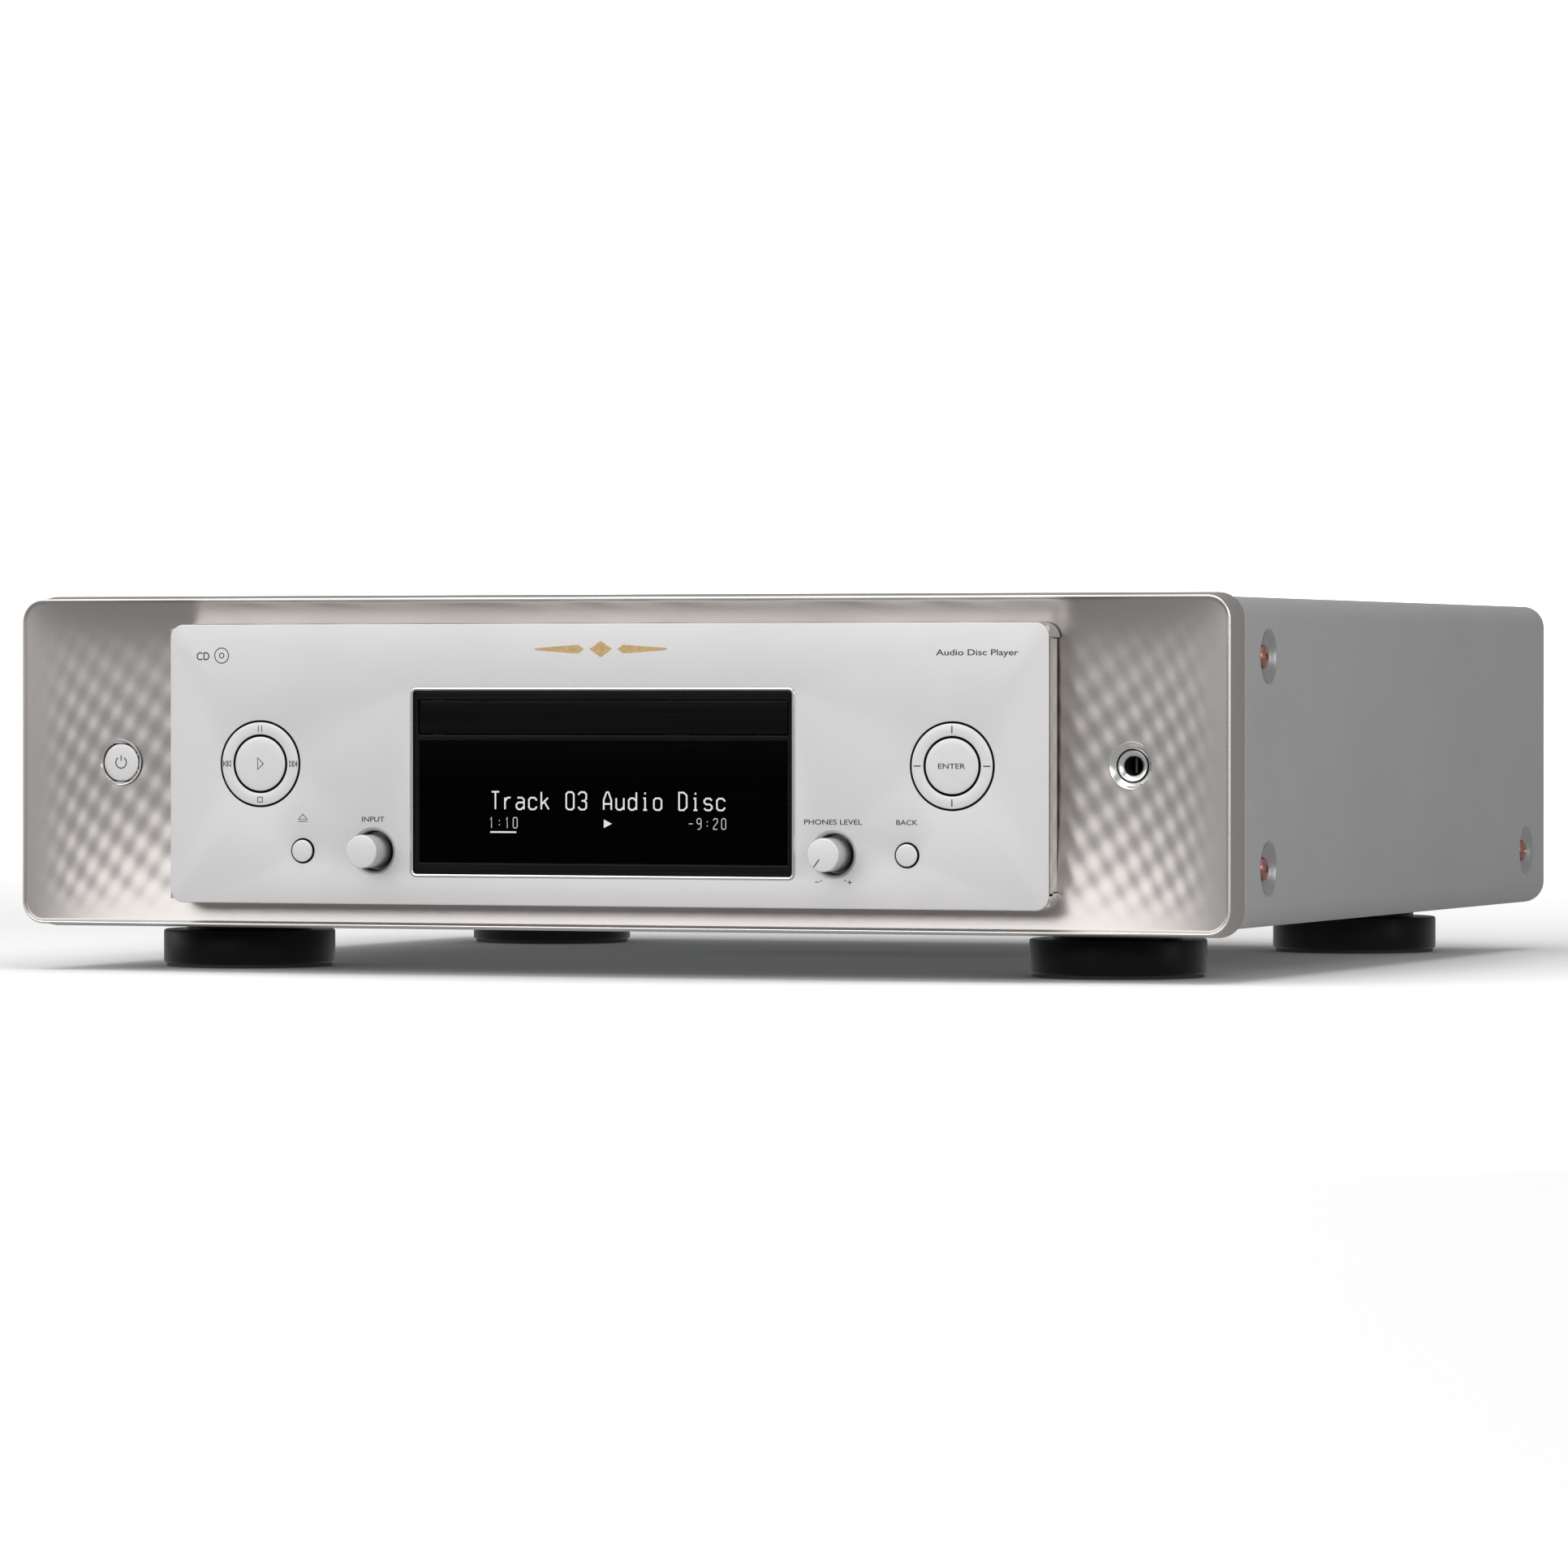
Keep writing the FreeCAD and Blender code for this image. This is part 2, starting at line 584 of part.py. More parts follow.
def front_edges(shape):
    """Edges that lie wholly in the shape's front face."""
    front = shape.BoundBox.YMin + 1e-4
    return [edge for edge in shape.Edges if edge.BoundBox.YMax < front]


def power_button():
    head = cyl_y(-WING_CTRL_X, WING_CTRL_Z, POWER_R, WING_Y - 1.7, WING_Y + 3.3)
    head = head.makeFillet(BUTTON_EDGE_R, front_edges(head))
    stem = cyl_y(-WING_CTRL_X, WING_CTRL_Z, POWER_STEM_R, WING_Y + 3.3, WING_Y + 5.9)
    return fused([head, stem])


def knob(side):
    """Turned knob bored for its shaft; the right one, for the level, has an engraved pointer."""
    x = side * KNOB_X
    body = cyl_y(x, KNOB_Z, KNOB_R, FRONT_TIP_Y, PLATE_Y + 2.2)
    body = body.makeFillet(0.5, front_edges(body))
    bore = cyl_y(x, KNOB_Z, SHAFT_R, FRONT_TIP_Y + 3.0, PLATE_Y + 3.0)
    cutters = [bore]
    if side > 0:
        mark = box(x + 1.6, x + KNOB_R, FRONT_TIP_Y, FRONT_TIP_Y + 0.5, KNOB_Z - 0.35, KNOB_Z + 0.35)
        mark.rotate(V(x, 0, KNOB_Z), Y_AXIS, -POINTER_ANGLE)
        cutters.append(mark)
    return less(body, cutters)


def knob_shaft(side):
    return cyl_y(side * KNOB_X, KNOB_Z, SHAFT_R, FRONT_TIP_Y + 3.0, PLATE_Y + 12.0)


# Case ---------------------------------------------------------------------------------

def front_subframe():
    """Folded steel frame behind the front panel, with flanges for the cover's front screws."""
    low, top = BASE_TOP_Z, REAR_TOP_Z - 1.0
    sheet = box(-FLANGE_X, FLANGE_X, PANEL_BACK_Y, PANEL_BACK_Y + SHEET, low, top)
    flanges = both_sides(lambda side: box(*sorted((side * FLANGE_X, side * (FLANGE_X - FLANGE_T))),
                                          PANEL_BACK_Y, -140.0, low, top - 8.0))
    half = BEZEL_R + 1.0
    cutters = [
        box(-DOOR_HALF_W - 3.0, DOOR_HALF_W + 3.0, PANEL_BACK_Y, PANEL_BACK_Y + SHEET, 50.0, 100.0),
        box(WING_CTRL_X - half, WING_CTRL_X + half, PANEL_BACK_Y, PANEL_BACK_Y + SHEET,
            WING_CTRL_Z - half, WING_CTRL_Z + half),
    ]
    for y, z in SCREW_PLACES[:2]:
        cutters.append(cyl_x(y, z, SCREW_HOLE_R, -WIDTH / 2, WIDTH / 2))
    return less(fused([sheet] + flanges), cutters)


def base_plate():
    """Steel floor with vents and turned-up side flanges for the cover's rear screws."""
    sheet = box(-BASE_HALF_W, BASE_HALF_W, PANEL_BACK_Y, REAR_Y, BASE_LOW_Z, BASE_TOP_Z)
    flanges = both_sides(lambda side: box(*sorted((side * BASE_HALF_W, side * (BASE_HALF_W - FLANGE_T))),
                                          -130.0, REAR_Y, BASE_TOP_Z, 48.0))
    y, z = SCREW_PLACES[2]
    cutters = [cyl_x(y, z, SCREW_HOLE_R, -WIDTH / 2, WIDTH / 2)]
    for foot_x, foot_y in foot_places():
        cutters.append(cyl_z(foot_x, foot_y, 2.5, BASE_LOW_Z, BASE_TOP_Z))
    for row in range(5):
        for column in range(8):
            x0 = -52.5 + VENT_PITCH_X * column
            y0 = 40.0 + VENT_PITCH_Y * row
            cutters.append(box(x0, x0 + VENT_SIZE[0], y0, y0 + VENT_SIZE[1], BASE_LOW_Z, BASE_TOP_Z))
    return less(fused([sheet] + flanges), cutters)


def screw_sites():
    """(side, y, z) of each of the cover's side screws."""
    return [(side, y, z) for side in (-1, 1) for y, z in SCREW_PLACES]


def top_cover():
    """Wrapped steel cover, open below between its turned-in lips, with a round dimple at each screw."""
    outer = rounded_plate(-COVER_HALF_W, COVER_HALF_W, COVER_LOW_Z, COVER_TOP_Z, COVER_R,
                          PANEL_BACK_Y, COVER_BACK_Y)
    inner = rounded_plate(-COVER_HALF_W + SHEET, COVER_HALF_W - SHEET, COVER_LOW_Z + SHEET,
                          COVER_TOP_Z - SHEET, COVER_R - SHEET, PANEL_BACK_Y, COVER_BACK_Y)
    shell = outer.cut(inner)
    shell = shell.cut(box(-LIP_X, LIP_X, PANEL_BACK_Y, COVER_BACK_Y, COVER_LOW_Z, COVER_LOW_Z + 5.0))
    cups = []
    cutters = []
    for side, y, z in screw_sites():
        face = V(side * COVER_HALF_W, y, z)
        inward = V(-side, 0, 0)
        start = face + inward * (SHEET * 0.5)
        cups.append(Part.makeCone(DIMPLE_R + 1.0, DIMPLE_FLOOR_R + 1.0, DIMPLE_DEPTH + SHEET * 0.5,
                                  start, inward))
        cutters.append(Part.makeCone(DIMPLE_R, DIMPLE_FLOOR_R, DIMPLE_DEPTH, face, inward))
        cutters.append(Part.makeCylinder(2.2, 8.0, face, inward))
    return less(fused([shell] + cups), cutters)


def cover_screws():
    """Six pan-head screws with cross recesses in the cover's dimples."""
    solids = []
    for side, y, z in screw_sites():
        seat = COVER_HALF_W - DIMPLE_DEPTH
        head = cyl_x(y, z, HEAD_R, seat, seat + HEAD_T)
        rim = [edge for edge in head.Edges if edge.BoundBox.XMin > seat + HEAD_T - 0.01]
        head = head.makeFillet(0.9, rim)
        cross = [box(seat + HEAD_T / 2, seat + HEAD_T, y - half_y, y + half_y, z - half_z, z + half_z)
                 for half_y, half_z in ((CROSS_HALF_W, CROSS_HALF_L), (CROSS_HALF_L, CROSS_HALF_W))]
        screw = fused([less(head, cross), cyl_x(y, z, SCREW_R, seat - 7.0, seat)])
        solids.append(screw if side > 0 else mirrored(screw))
    return Part.makeCompound(solids)


def rear_panel():
    """Back sheet with a cut-out for every socket, square under the round sockets' flanges."""
    sheet = rounded_plate(-FLANGE_X, FLANGE_X, BASE_LOW_Z + 0.2, REAR_TOP_Z, 6.0, REAR_Y, REAR_Y + SHEET)
    y0, y1 = REAR_Y, REAR_Y + SHEET
    half_w, half_h = INLET_HALF_W + 0.2, INLET_HALF_H + 0.2
    cutters = [box(INLET_X - half_w, INLET_X + half_w, y0, y1, INLET_Z - half_h, INLET_Z + half_h)]
    for places, half in ((RCA_PLACES, RCA_R + 0.1), (MINI_PLACES, MINI_NOSE_R + 0.1),
                         (AERIAL_PLACES, AERIAL_R + 0.1)):
        for x, z in places:
            cutters.append(box(x - half, x + half, y0, y1, z - half, z + half))
    for x, z, half_w, half_h, _ in BLOCK_SOCKETS:
        cutters.append(box(x - half_w - 0.3, x + half_w + 0.3, y0, y1, z - half_h - 0.3, z + half_h + 0.3))
    for x, z in PANEL_SCREWS:
        cutters.append(cyl_y(x, z, 1.5, y0, y1))
    return less(sheet, cutters)


def foot_places():
    return [(side * FOOT_X, y) for side in (-1, 1) for y in FOOT_YS]


def feet():
    """Broad round feet: a glossy drum under a narrower neck, bored for the fixing screw."""
    solids = []
    for x, y in foot_places():
        drum = cyl_z(x, y, FOOT_R, FOOT_LOW_Z, FOOT_TOP_Z)
        drum = drum.makeFillet(0.8, [edge for edge in drum.Edges if edge.BoundBox.ZMin > FOOT_TOP_Z - 0.01])
        neck = cyl_z(x, y, NECK_R, FOOT_TOP_Z, BASE_LOW_Z)
        well = cyl_z(x, y, FOOT_WELL_R, FOOT_LOW_Z, FOOT_WELL_TOP_Z)
        solids.append(less(fused([drum, neck]), [well, cyl_z(x, y, 2.6, FOOT_LOW_Z, BASE_LOW_Z)]))
    return Part.makeCompound(solids)


def foot_pads():
    return Part.makeCompound([ring_z(x, y, FOOT_R - 1.0, 12.0, 0.0, FOOT_LOW_Z) for x, y in foot_places()])


def chassis_screws():
    """Feet screws from below and rear panel screws from behind."""
    solids = []
    for x, y in foot_places():
        head = cyl_z(x, y, 4.5, FOOT_WELL_TOP_Z - 3.0, FOOT_WELL_TOP_Z)
        solids.append(fused([head, cyl_z(x, y, 2.4, FOOT_WELL_TOP_Z, BASE_TOP_Z + 3.0)]))
    for x, z in PANEL_SCREWS:
        head = cyl_y(x, z, 2.9, REAR_Y + SHEET, REAR_Y + SHEET + 1.8)
        head = head.cut([box(x - 0.4, x + 0.4, REAR_Y + 2.0, REAR_Y + 4.0, z - 1.7, z + 1.7),
                         box(x - 1.7, x + 1.7, REAR_Y + 2.0, REAR_Y + 4.0, z - 0.4, z + 0.4)])
        solids.append(fused([head, cyl_y(x, z, 1.4, REAR_Y - 4.0, REAR_Y + SHEET)]))
    return Part.makeCompound(solids)


# Rear sockets -------------------------------------------------------------------------

def rca_sockets():
    """Phono sockets: a metal shell with a recessed centre contact, on a moulded block inside."""
    solids = []
    for x, z in RCA_PLACES:
        shell = cyl_y(x, z, RCA_R, REAR_Y - 1.0, SOCKET_FLAT_Y + RCA_LENGTH)
        flange = cyl_y(x, z, 6.2, SOCKET_FLAT_Y, SOCKET_FLAT_Y + 1.4)
        contact = cyl_y(x, z, 1.7, REAR_Y, SOCKET_FLAT_Y + RCA_LENGTH)
        block = box(x - 6.0, x + 6.0, REAR_Y - 11.0, REAR_Y - 1.0, z - 6.0, z + 6.0)
        solids.append(less(fused([shell, flange, block]), [contact]))
    return Part.makeCompound(solids)


def signal_sockets():
    """Optical sockets with square mouths and small round remote-control sockets."""
    solids = []
    for x, z, half_w, half_h, proud in (OPTICAL_IN, OPTICAL_OUT):
        body = box(x - half_w, x + half_w, REAR_Y - 10.0, SOCKET_FLAT_Y + proud, z - half_h, z + half_h)
        mouth = box(x - 3.4, x + 3.4, REAR_Y - 6.0, SOCKET_FLAT_Y + proud, z - 3.4, z + 3.4)
        solids.append(body.cut(mouth))
    for x, z in MINI_PLACES:
        body = box(x - 5.0, x + 5.0, REAR_Y - 12.0, REAR_Y, z - 5.0, z + 5.0)
        nose = cyl_y(x, z, MINI_NOSE_R, REAR_Y, SOCKET_FLAT_Y + 1.0)
        bore = cyl_y(x, z, 1.8, REAR_Y - 11.0, SOCKET_FLAT_Y + 1.0)
        solids.append(less(fused([body, nose]), [bore]))
    return Part.makeCompound(solids)


def data_sockets():
    """Sheet-metal shells of the video, serial bus and network sockets with their tongues."""
    solids = []
    for (x, z, half_w, half_h, proud), tongue in ((HDMI, 0.7), (USB, 1.0), (ETHERNET, 0.0)):
        depth = 16.0
        wall = 0.6
        body = box(x - half_w, x + half_w, REAR_Y - depth, SOCKET_FLAT_Y + proud, z - half_h, z + half_h)
        mouth = box(x - half_w + wall, x + half_w - wall, REAR_Y - depth + 3.0, SOCKET_FLAT_Y + proud,
                    z - half_h + wall, z + half_h - wall)
        shell = body.cut(mouth)
        if tongue:
            offset = 1.4 if half_h > 3.5 else 0.0
            blade = box(x - half_w + 2.0, x + half_w - 2.0, REAR_Y - depth + 3.0, SOCKET_FLAT_Y,
                        z + offset - tongue, z + offset + tongue)
            shell = fused([shell, blade])
        solids.append(shell)
    return Part.makeCompound(solids)


def aerial_sockets():
    """Two threaded coaxial sockets for the wireless aerials."""
    solids = []
    for x, z in AERIAL_PLACES:
        barrel = cyl_y(x, z, AERIAL_R, REAR_Y - 8.0, BACK_TIP_Y)
        nut = cyl_y(x, z, 4.8, SOCKET_FLAT_Y, SOCKET_FLAT_Y + 2.2)
        bore = cyl_y(x, z, 1.3, SOCKET_FLAT_Y, BACK_TIP_Y)
        solids.append(less(fused([barrel, nut]), [bore]))
    return Part.makeCompound(solids)


def power_inlet():
    """Mains inlet with a recessed mouth and two flat blades."""
    half_w, half_h = INLET_HALF_W, INLET_HALF_H
    front_y = SOCKET_FLAT_Y + INLET_PROUD
    flange = rounded_plate(INLET_X - half_w - INLET_FLANGE, INLET_X + half_w + INLET_FLANGE,
                           INLET_Z - half_h - INLET_FLANGE, INLET_Z + half_h + INLET_FLANGE, 2.5,
                           SOCKET_FLAT_Y, front_y)
    body = box(INLET_X - half_w, INLET_X + half_w, REAR_Y - 20.0, SOCKET_FLAT_Y,
               INLET_Z - half_h, INLET_Z + half_h)
    mouth = box(INLET_X - half_w + 1.8, INLET_X + half_w - 1.8, REAR_Y - 15.0, front_y,
                INLET_Z - half_h + 2.0, INLET_Z + half_h - 2.0)
    shell = fused([flange, body]).cut(mouth)
    blades = [box(INLET_X + x - 1.0, INLET_X + x + 1.0, REAR_Y - 16.0, SOCKET_FLAT_Y - 2.0,
                  INLET_Z - 2.0, INLET_Z + 2.0) for x in (-7.0, 7.0)]
    tabs = [box(INLET_X + x - 3.0, INLET_X + x + 3.0, REAR_Y - 28.0, REAR_Y - 20.0,
                INLET_Z - 0.4, INLET_Z + 0.4) for x in (-7.0, 7.0)]
    return fused([shell] + blades + tabs)


# Circuits -----------------------------------------------------------------------------

def circuit_boards():
    return Part.makeCompound([box(*board, BOARD_LOW_Z, BOARD_TOP_Z) for board in BOARDS])


def board_components():
    """Capacitors, a heat sink and chip packages standing on the boards."""
    top = BOARD_TOP_Z
    solids = []
    for x in (-190.0, -166.0):
        for y in (50.0, 76.0):
            solids.append(cyl_z(x, y, 10.0, top, top + 36.0))
    for y in (40.0, 56.0, 72.0, 88.0):
        solids.append(cyl_z(-130.0, y, 6.0, top, top + 20.0))
    fins = [box(-112.0 + 3.5 * i, -110.8 + 3.5 * i, 50.0, 110.0, top + 3.0, top + 32.0) for i in range(6)]
    solids.append(fused([box(-112.0, -93.3, 50.0, 110.0, top, top + 3.0)] + fins))
    for x, y, half in ((-20.0, 110.0, 12.0), (28.0, 100.0, 9.0), (-40.0, 150.0, 8.0), (140.0, 40.0, 7.0)):
        solids.append(box(x - half, x + half, y - half, y + half, top, top + 2.0))
    for row in range(3):
        for column in range(4):
            solids.append(cyl_z(110.0 + 20.0 * column, 90.0 + 22.0 * row, 5.0, top, top + 12.0))
    return Part.makeCompound(solids)


def board_standoffs():
    solids = []
    for x0, x1, y0, y1 in BOARDS:
        for x in (x0 + 5.0, x1 - 5.0):
            for y in (y0 + 5.0, y1 - 5.0):
                solids.append(cyl_z(x, y, 3.0, BASE_TOP_Z, BOARD_LOW_Z))
    return Part.makeCompound(solids)


def shield_cover():
    """Folded copper-plated cap over the sound board's output stage."""
    top = BOARD_TOP_Z
    x0, x1, y0, y1 = SHIELD
    outer = box(x0, x1, y0, y1, top, top + SHIELD_H)
    return outer.cut(box(x0 + SHIELD_T, x1 - SHIELD_T, y0 + SHIELD_T, y1 - SHIELD_T,
                         top, top + SHIELD_H - SHIELD_T))


def transformer():
    """Toroidal mains transformer held by a dished washer and a bolt."""
    top = BASE_TOP_Z + TOROID_H
    outer = cyl_z(TOROID_X, TOROID_Y, TOROID_R, BASE_TOP_Z, top)
    rims = [edge for edge in outer.Edges if edge.Curve.TypeId == "Part::GeomCircle"]
    outer = outer.makeFillet(9.0, rims)
    core = outer.cut(cyl_z(TOROID_X, TOROID_Y, TOROID_BORE_R, BASE_TOP_Z, top))
    washer = cyl_z(TOROID_X, TOROID_Y, 26.0, top, top + 2.0)
    bolt = cyl_z(TOROID_X, TOROID_Y, 3.0, BASE_TOP_Z, top + 5.0)
    nut = cyl_z(TOROID_X, TOROID_Y, 5.5, top + 2.0, top + 6.0)
    return fused([core, washer, bolt, nut])


# Disc loader: fixed pieces ------------------------------------------------------------

def loader_frame():
    """Moulded tub that guides the tray, holds the gears' posts and hinges the traverse."""
    wall_x = FRAME_IN_X + FRAME_WALL
    walls = both_sides(lambda side: box(*sorted((side * FRAME_IN_X, side * wall_x)),
                                        FRAME_FRONT_Y, FRAME_BACK_Y, FRAME_LOW_Z, BRIDGE_Z))
    floor = box(-wall_x, wall_x, FRAME_FRONT_Y, FRAME_BACK_Y, FRAME_LOW_Z, FRAME_LOW_Z + 2.0)
    floor = floor.cut(box(-52.0, 52.0, -139.0, 4.0, FRAME_LOW_Z, FRAME_LOW_Z + 2.0))
    front = box(-wall_x, wall_x, FRAME_FRONT_Y, FRAME_FRONT_Y + 2.0, FRAME_LOW_Z, 74.0)
    parts = walls + [floor, front]
    for side in (-1, 1):
        ledge = box(FRAME_IN_X - 3.0, FRAME_IN_X, -136.0, -8.0, TRAY_LOW_Z - 2.3, TRAY_LOW_Z - 0.3)
        hook = box(FRAME_IN_X - 3.0, FRAME_IN_X, -172.0, -164.0, TRAY_TOP_Z + 0.4, TRAY_TOP_Z + 2.4)
        for piece in (ledge, hook):
            parts.append(piece if side > 0 else mirrored(piece))
    for x, y, radius, top in gear_posts():
        parts.append(cyl_z(x, y, radius + 3.0, FRAME_LOW_Z, POST_FOOT_Z))
        parts.append(cyl_z(x, y, radius, POST_FOOT_Z, top))
    for x0, x1 in ((-48.0, -14.0), (28.0, 50.0)):
        for y in (CAM_Y - 1.0 - GUIDE_T, CAM_Y + CAM_T + 0.4):
            parts.append(box(x0, x1, y, y + GUIDE_T, FRAME_LOW_Z, 62.5))
    hinge_holes = cyl_x(HINGE_Y, HINGE_Z, HINGE_PIN_R + PIN_PLAY, -wall_x, wall_x)
    return less(fused(parts), [hinge_holes])


def gear_posts():
    """(x, y, radius, top) of the two fixed shafts that the loader's gears turn on."""
    return [(DRIVE_X, DRIVE_Y, POST_R, TRAY_DECK_Z - 0.6), (PULLEY_X, DRIVE_Y, POST_R, WHEEL_TOP_Z + 1.1)]


def loader_brackets():
    """Two folded steel legs along the sides of the loader."""
    solids = []
    for side in (-1, 1):
        y0, y1 = FRAME_FRONT_Y + 6.0, FRAME_BACK_Y - 6.0
        web_x = 62.0
        foot = box(web_x, web_x + 18.0, y0, y1, BASE_TOP_Z, BASE_TOP_Z + BRACKET_T)
        web = box(web_x, web_x + BRACKET_T, y0, y1, BASE_TOP_Z, FRAME_LOW_Z)
        shelf = box(web_x - 6.0, web_x + BRACKET_T, y0, y1, FRAME_LOW_Z - BRACKET_T, FRAME_LOW_Z)
        window = box(web_x, web_x + BRACKET_T, y0 + 30.0, y1 - 32.0, BASE_TOP_Z + 8.0, FRAME_LOW_Z - 8.0)
        leg = less(fused([foot, web, shelf]), [window])
        solids.append(leg if side > 0 else mirrored(leg))
    return Part.makeCompound(solids)


def clamp_bridge():
    """Steel bridge over the disc with the hole that the clamper hangs in."""
    wall_x = FRAME_IN_X + FRAME_WALL
    top = BRIDGE_Z + BRIDGE_T
    deck = box(-wall_x, wall_x, DISC_Y - 24.0, DISC_Y + 24.0, BRIDGE_Z, top)
    rib = box(-wall_x + 6.0, wall_x - 6.0, DISC_Y + 21.0, DISC_Y + 21.0 + BRIDGE_T, top, top + 3.5)
    return less(fused([deck, rib]), [cyl_z(0.0, DISC_Y, 15.0, BRIDGE_Z, top)])


def loading_motor():
    can = cyl_z(MOTOR_X, DRIVE_Y, 11.0, FRAME_LOW_Z + 2.0, 74.6)
    shaft = cyl_z(MOTOR_X, DRIVE_Y, MOTOR_SHAFT_R, 74.6, PULLEY_TOP_Z)
    return fused([can, shaft])


def drive_belt():
    """Flat belt round the motor pulley and the large pulley, with straight runs between them."""
    gap = 0.05

    def outline(extra):
        r1 = PULLEY_R + extra
        r2 = MOTOR_PULLEY_R + extra
        lean = math.asin((PULLEY_R - MOTOR_PULLEY_R) / (MOTOR_X - PULLEY_X))
        start = V(PULLEY_X + r1 * math.sin(lean), DRIVE_Y + r1 * math.cos(lean), BELT_LOW_Z)
        tip = V(MOTOR_X + r2 * math.sin(lean), DRIVE_Y + r2 * math.cos(lean), BELT_LOW_Z)
        end = V(start.x, 2 * DRIVE_Y - start.y, BELT_LOW_Z)
        low_tip = V(tip.x, 2 * DRIVE_Y - tip.y, BELT_LOW_Z)
        edges = [
            Part.makeLine(start, tip),
            Part.Arc(tip, V(MOTOR_X + r2, DRIVE_Y, BELT_LOW_Z), low_tip).toShape(),
            Part.makeLine(low_tip, end),
            Part.Arc(end, V(PULLEY_X - r1, DRIVE_Y, BELT_LOW_Z), start).toShape(),
        ]
        return Part.Face(Part.Wire(edges)).extrude(V(0, 0, BELT_TOP_Z - BELT_LOW_Z))

    return outline(gap + BELT_T).cut(outline(gap))


# Gears and racks ----------------------------------------------------------------------

def involute(angle):
    return math.tan(angle) - angle


def gear_points(module, teeth, x, y, first_tooth):
    """Outline of a spur gear with a tooth centred on the angle first_tooth."""
    pitch_r = module * teeth / 2
    base_r = pitch_r * math.cos(PRESSURE)
    root_r = pitch_r - DEDENDUM * module
    tip_r = pitch_r + ADDENDUM * module
    half_pitch = math.pi / (2 * teeth) - BACKLASH / 2 / (2 * pitch_r)
    flank = []
    start_r = max(base_r, root_r)
    for step in range(4):
        r = start_r + (tip_r - start_r) * step / 3
        half = half_pitch + involute(PRESSURE) - involute(math.acos(min(1.0, base_r / r)))
        flank.append((r, half))
    flank.insert(0, (root_r, flank[0][1]))
    points = []
    for tooth in range(teeth):
        middle = first_tooth + 2 * math.pi * tooth / teeth
        rising = [(r, middle - half) for r, half in flank]
        falling = [(r, middle + half) for r, half in reversed(flank)]
        points += [(x + r * math.cos(a), y + r * math.sin(a)) for r, a in rising + falling]
    return points


def rack(module, pitch_x, mesh_y, y0, y1, back_x, z0, z1):
    """Rack along Y with teeth towards +X and a gap centred on mesh_y."""
    pitch = math.pi * module
    tip_x = pitch_x + ADDENDUM * module
    root_x = pitch_x - DEDENDUM * module
    half_tip = pitch / 4 - BACKLASH / 4 - ADDENDUM * module * math.tan(PRESSURE)
    half_root = pitch / 4 - BACKLASH / 4 + DEDENDUM * module * math.tan(PRESSURE)
    first = math.ceil((y0 + half_root - mesh_y) / pitch - 0.5)
    last = math.floor((y1 - half_root - mesh_y) / pitch - 0.5)
    points = [(back_x, y0), (root_x, y0)]
    for k in range(first, last + 1):
        y = mesh_y + (k + 0.5) * pitch
        points += [(root_x, y - half_root), (tip_x, y - half_tip),
                   (tip_x, y + half_tip), (root_x, y + half_root)]
    points += [(root_x, y1), (back_x, y1)]
    return polygon_z(points, z0, z1)


# Disc loader: moving pieces -----------------------------------------------------------

def disc_tray():
    """Tray with wells for both disc sizes, open at the back for the raised turntable."""
    deck = box(-TRAY_HALF_W, TRAY_HALF_W, TRAY_FRONT_Y, TRAY_BACK_Y, TRAY_DECK_Z, TRAY_TOP_Z)
    skirts = both_sides(lambda side: box(*sorted((side * TRAY_HALF_W, side * (TRAY_HALF_W - 2.5))),
                                         TRAY_FRONT_Y, TRAY_BACK_Y, TRAY_LOW_Z, TRAY_DECK_Z))
    nose = box(-TRAY_HALF_W, TRAY_HALF_W, TRAY_FRONT_Y, TRAY_FRONT_Y + 2.0, TRAY_LOW_Z, TRAY_DECK_Z)
    pitch_x = DRIVE_X - RACK_MODULE * RACK_GEAR_TEETH / 2
    teeth = rack(RACK_MODULE, pitch_x, DRIVE_Y, DRIVE_Y - 12.0, TRAY_BACK_Y - 1.0,
                 -TRAY_HALF_W + 2.0, TRAY_LOW_Z, TRAY_LOW_Z + RACK_T)
    web = box(-TRAY_HALF_W + 2.0, pitch_x - DEDENDUM * RACK_MODULE, DRIVE_Y - 12.0, TRAY_BACK_Y - 1.0,
              TRAY_LOW_Z + RACK_T, TRAY_DECK_Z)
    cutters = [
        cyl_z(0.0, DISC_Y, WELL_R, WELL_FLOOR_Z, TRAY_TOP_Z),
        cyl_z(0.0, DISC_Y, SMALL_WELL_R, WELL_FLOOR_Z - 0.8, TRAY_TOP_Z),
        cyl_z(0.0, DISC_Y, SLOT_HALF_W, TRAY_DECK_Z, TRAY_TOP_Z),
        box(-SLOT_HALF_W, SLOT_HALF_W, DISC_Y, TRAY_BACK_Y, TRAY_DECK_Z, TRAY_TOP_Z),
    ]
    for side in (-1, 1):
        cutters.append(cyl_z(side * (WELL_R - 1.0), DISC_Y, 9.0, WELL_FLOOR_Z, TRAY_TOP_Z))
    return less(fused([deck, nose, teeth, web] + skirts), cutters)


def tray_door():
    """Door on the tray's front, a hair smaller than its opening, with a plain flat face."""
    return box(-DOOR_HALF_W + DOOR_GAP, DOOR_HALF_W - DOOR_GAP, GLASS_Y, TRAY_FRONT_Y,
               DOOR_LOW_Z + DOOR_GAP, DOOR_TOP_Z - DOOR_GAP)


